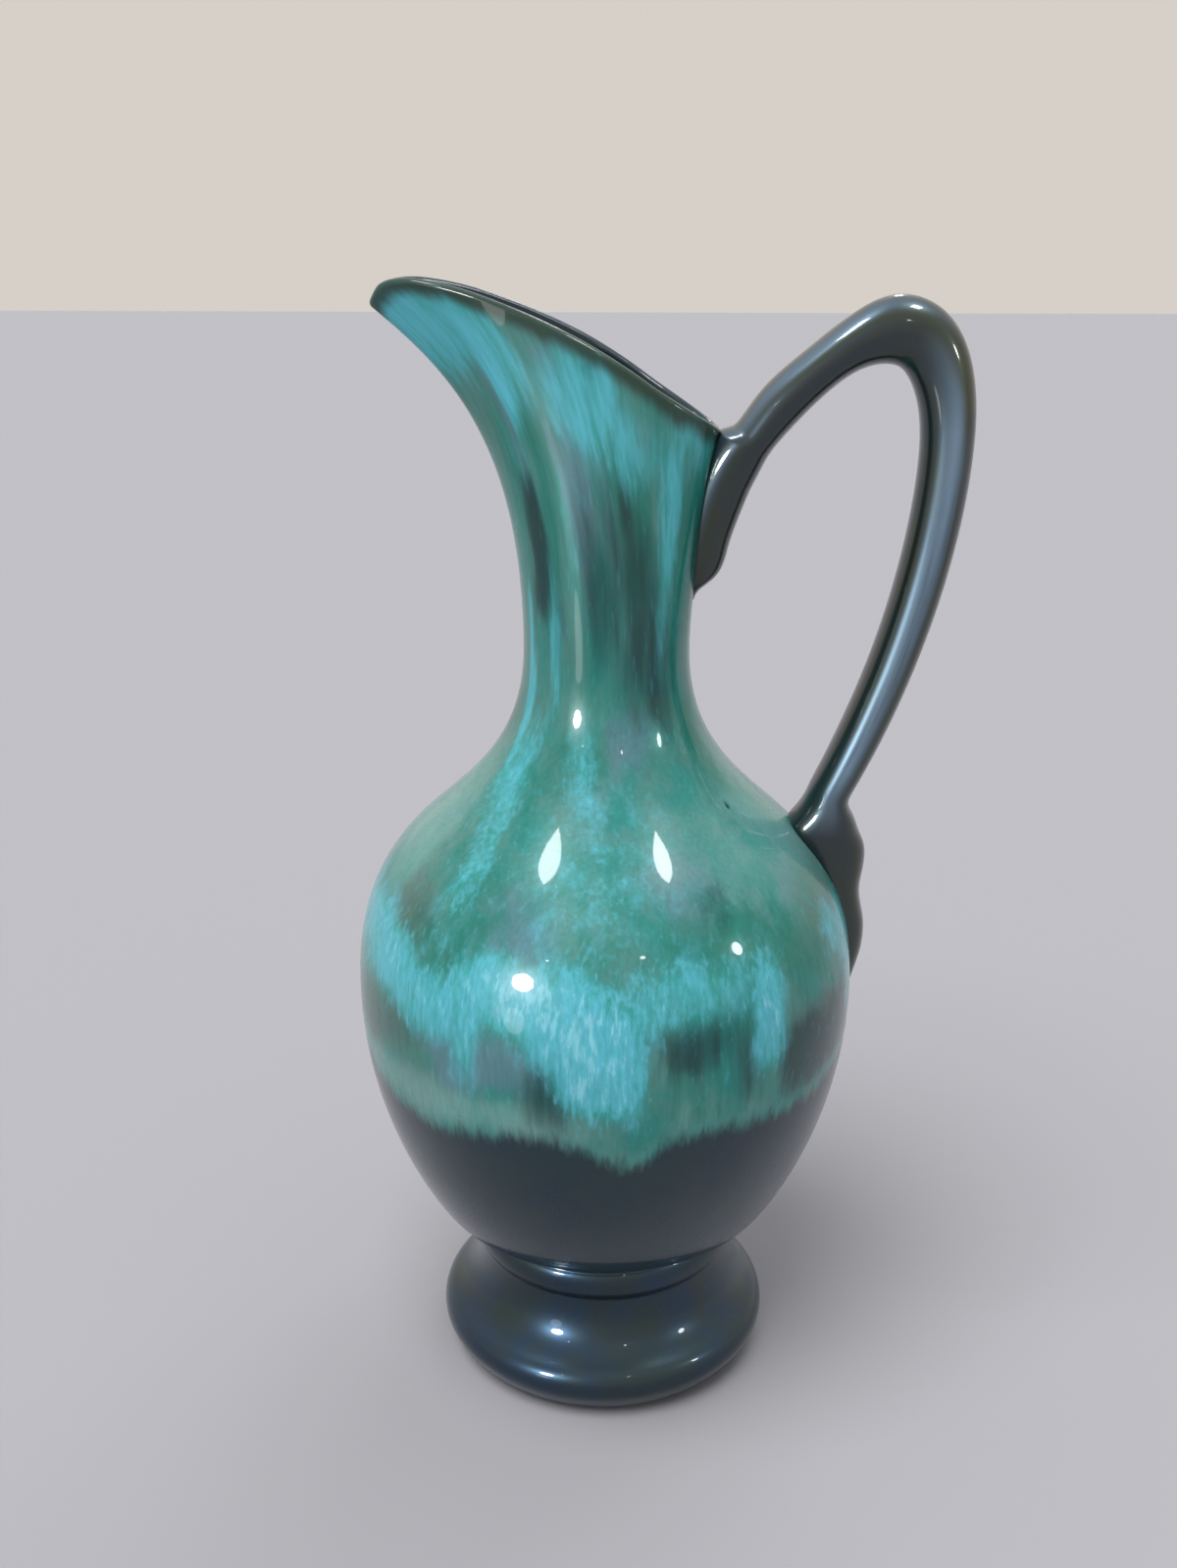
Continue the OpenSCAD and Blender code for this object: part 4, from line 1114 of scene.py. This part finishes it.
for piece, finish in ((foot, dipped), (collar, dipped), (belly, run_glaze), (neck, run_glaze),
                      (strap, handle_glaze), (tongue, handle_glaze), (tail, handle_glaze)):
    piece.data.materials.append(finish)
    print(piece.name, "wears", finish.name)

# %% [markdown]
# ## Floor, light and camera
# The pitcher stands on a plain pale floor. It takes the shadow, so the eye sees
# where the foot stands.

# %% Floor
HALF = 6.0
floor_mesh = bpy.data.meshes.new("floor")
floor_mesh.from_pydata([(-HALF, -HALF, 0), (HALF, -HALF, 0), (HALF, HALF, 0), (-HALF, HALF, 0)], [],
                       [(0, 1, 2, 3)])
floor = new_object("floor", floor_mesh)
pale_floor, tree = new_material("pale_floor")
shader = add(tree, "ShaderNodeBsdfPrincipled", {"Base Color": screen(176, 175, 180), "Roughness": 1.0,
                                                "Specular IOR Level": 0.0})
add(tree, "ShaderNodeOutputMaterial", {"Surface": shader.outputs[0]})
floor_mesh.materials.append(pale_floor)
floor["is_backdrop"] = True
print("floor:", 2 * HALF, "m wide")

# %% [markdown]
# ## Surround
# The room is only a pale colour, a little warmer near the horizon. The camera and
# the shiny surfaces see it at full strength, and the matt light is weaker, so that
# the colours keep their depth.

# %% Surround
DIFFUSE_LIGHT = 0.45
world = bpy.data.worlds.new("surround")
bpy.context.scene.world = world
world.use_nodes = True
tree = world.node_tree
tree.nodes.clear()
way_out = tree.nodes.new("ShaderNodeTexCoord").outputs["Generated"]
height = add(tree, "ShaderNodeSeparateXYZ", {0: way_out}).outputs["Z"]
wall_colour = mixed(tree, step_between(tree, height, 0.15, 0.95), screen(214, 208, 200),
                    screen(232, 236, 240))
seen = add(tree, "ShaderNodeBackground", {"Color": wall_colour, "Strength": 1.0})
light = add(tree, "ShaderNodeBackground", {"Color": (0.98, 0.99, 1.0, 1.0), "Strength": DIFFUSE_LIGHT})
rays = tree.nodes.new("ShaderNodeLightPath").outputs
direct = maths(tree, "MAXIMUM", rays["Is Camera Ray"], rays["Is Glossy Ray"])
direct = maths(tree, "MAXIMUM", direct, rays["Is Transmission Ray"])
either = add(tree, "ShaderNodeMixShader", {0: direct, 1: light.outputs[0], 2: seen.outputs[0]})
add(tree, "ShaderNodeOutputWorld", {"Surface": either.outputs[0]})
print("world:", world.name)


# %% [markdown]
# ## Lamps
# Highlights tell where the lamps of a photograph are: one at the front left, two
# high windows at the sides, a few small ones, and a pale thing low on the left. The
# even light comes from two very soft suns, which leave no highlight of their own.


# %% Lamps
MIDDLE, SUN_SPREAD = Vector((0, 0, 0.16)), math.radians(40)


def aimed(azimuth, elevation):
    """Direction from the pitcher to a lamp: azimuth 0 is towards the viewer, 90 is over the handle."""
    a, e = math.radians(azimuth), math.radians(elevation)
    return Vector((math.sin(a) * math.cos(e), -math.cos(a) * math.cos(e), math.sin(e)))


def lamp(name, azimuth, elevation, width, height, radiance, shape="RECTANGLE", distance=1.2):
    """Area lamp that gives highlights only; its power is radiance times pi times its area."""
    away = aimed(azimuth, elevation)
    area = width * height * (1 if shape == "RECTANGLE" else math.pi / 4)
    data = bpy.data.lights.new(name, "AREA")
    data.shape, data.size, data.size_y, data.energy = shape, width, height, radiance * math.pi * area
    made = new_object(name, data)
    made.location = MIDDLE + away * distance
    made.rotation_euler = (-away).to_track_quat("-Z", "Y").to_euler()
    made.visible_camera = made.visible_diffuse = False


def soft_sun(name, azimuth, elevation, strength):
    """Very soft sun that lights the colours evenly and leaves no highlight."""
    data = bpy.data.lights.new(name, "SUN")
    data.angle, data.energy = SUN_SPREAD, strength
    made = new_object(name, data)
    made.rotation_euler = (-aimed(azimuth, elevation)).to_track_quat("-Z", "Y").to_euler()
    made.visible_glossy = False


lamp("front_lamp", -36.5, 13, 0.20, 0.20, 90.0, "DISK")
lamp("left_panel", -69, 66, 0.24, 0.18, 22.0)
lamp("right_panel", 72, 66, 0.24, 0.18, 26.0)
lamp("small_lamp", 19, 32, 0.045, 0.045, 26.0, "DISK")
lamp("small_left_lamp", -28, 28, 0.03, 0.03, 26.0, "DISK")
lamp("side_lamp", 66, 21, 0.10, 0.15, 30.0, "ELLIPSE")
lamp("low_left_glow", -37, -8, 0.10, 0.12, 3.5, "ELLIPSE", 0.6)
lamp("back_lamp", 168, 38, 0.12, 0.12, 14.0, "DISK")
soft_sun("fill", -35, 64, 2.25)
soft_sun("back_fill", 150, 50, 0.6)
print("lights:", len(bpy.data.lights))

# %% [markdown]
# ## Camera
# The camera stands where the photograph was taken from, a little above the spout
# and looking down, worked out from the outline of the foot, the belly and the rim.

# %% Camera where the photograph was taken
eye = Vector((0.0, -416.31, 317.24)) * MM
forward = Vector((-0.0106688, 0.9448300, -0.3273872))
side = Vector((0.9999258, 0.0120070, 0.0020664))
upright = Vector((-0.0058834, 0.3273408, 0.9448880))
camera_data = bpy.data.cameras.new("camera")
camera_data.sensor_width, camera_data.lens = 36.0, 37.08
camera_data.clip_start = 0.01
camera = new_object("camera", camera_data)
camera.matrix_world = Matrix.Translation(eye) @ Matrix((side, upright, -forward)).transposed().to_4x4()
bpy.context.scene.camera = camera
bpy.context.scene.view_settings.view_transform = "Standard"
print("lens:", round(camera_data.lens, 2), "mm")

# %% [markdown]
# ## Sizes
# The box of the frame and the box of the new surfaces are both printed,
# so that they can be compared. The new surfaces have to stay in the box of the
# frame.

# %% Sizes and finish
bpy.context.view_layer.update()
low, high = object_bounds()
print("CAD box", [round(v, 4) for v in (*cad_low, *cad_high)])
print("visual box", [round(v, 4) for v in (*low, *high)])
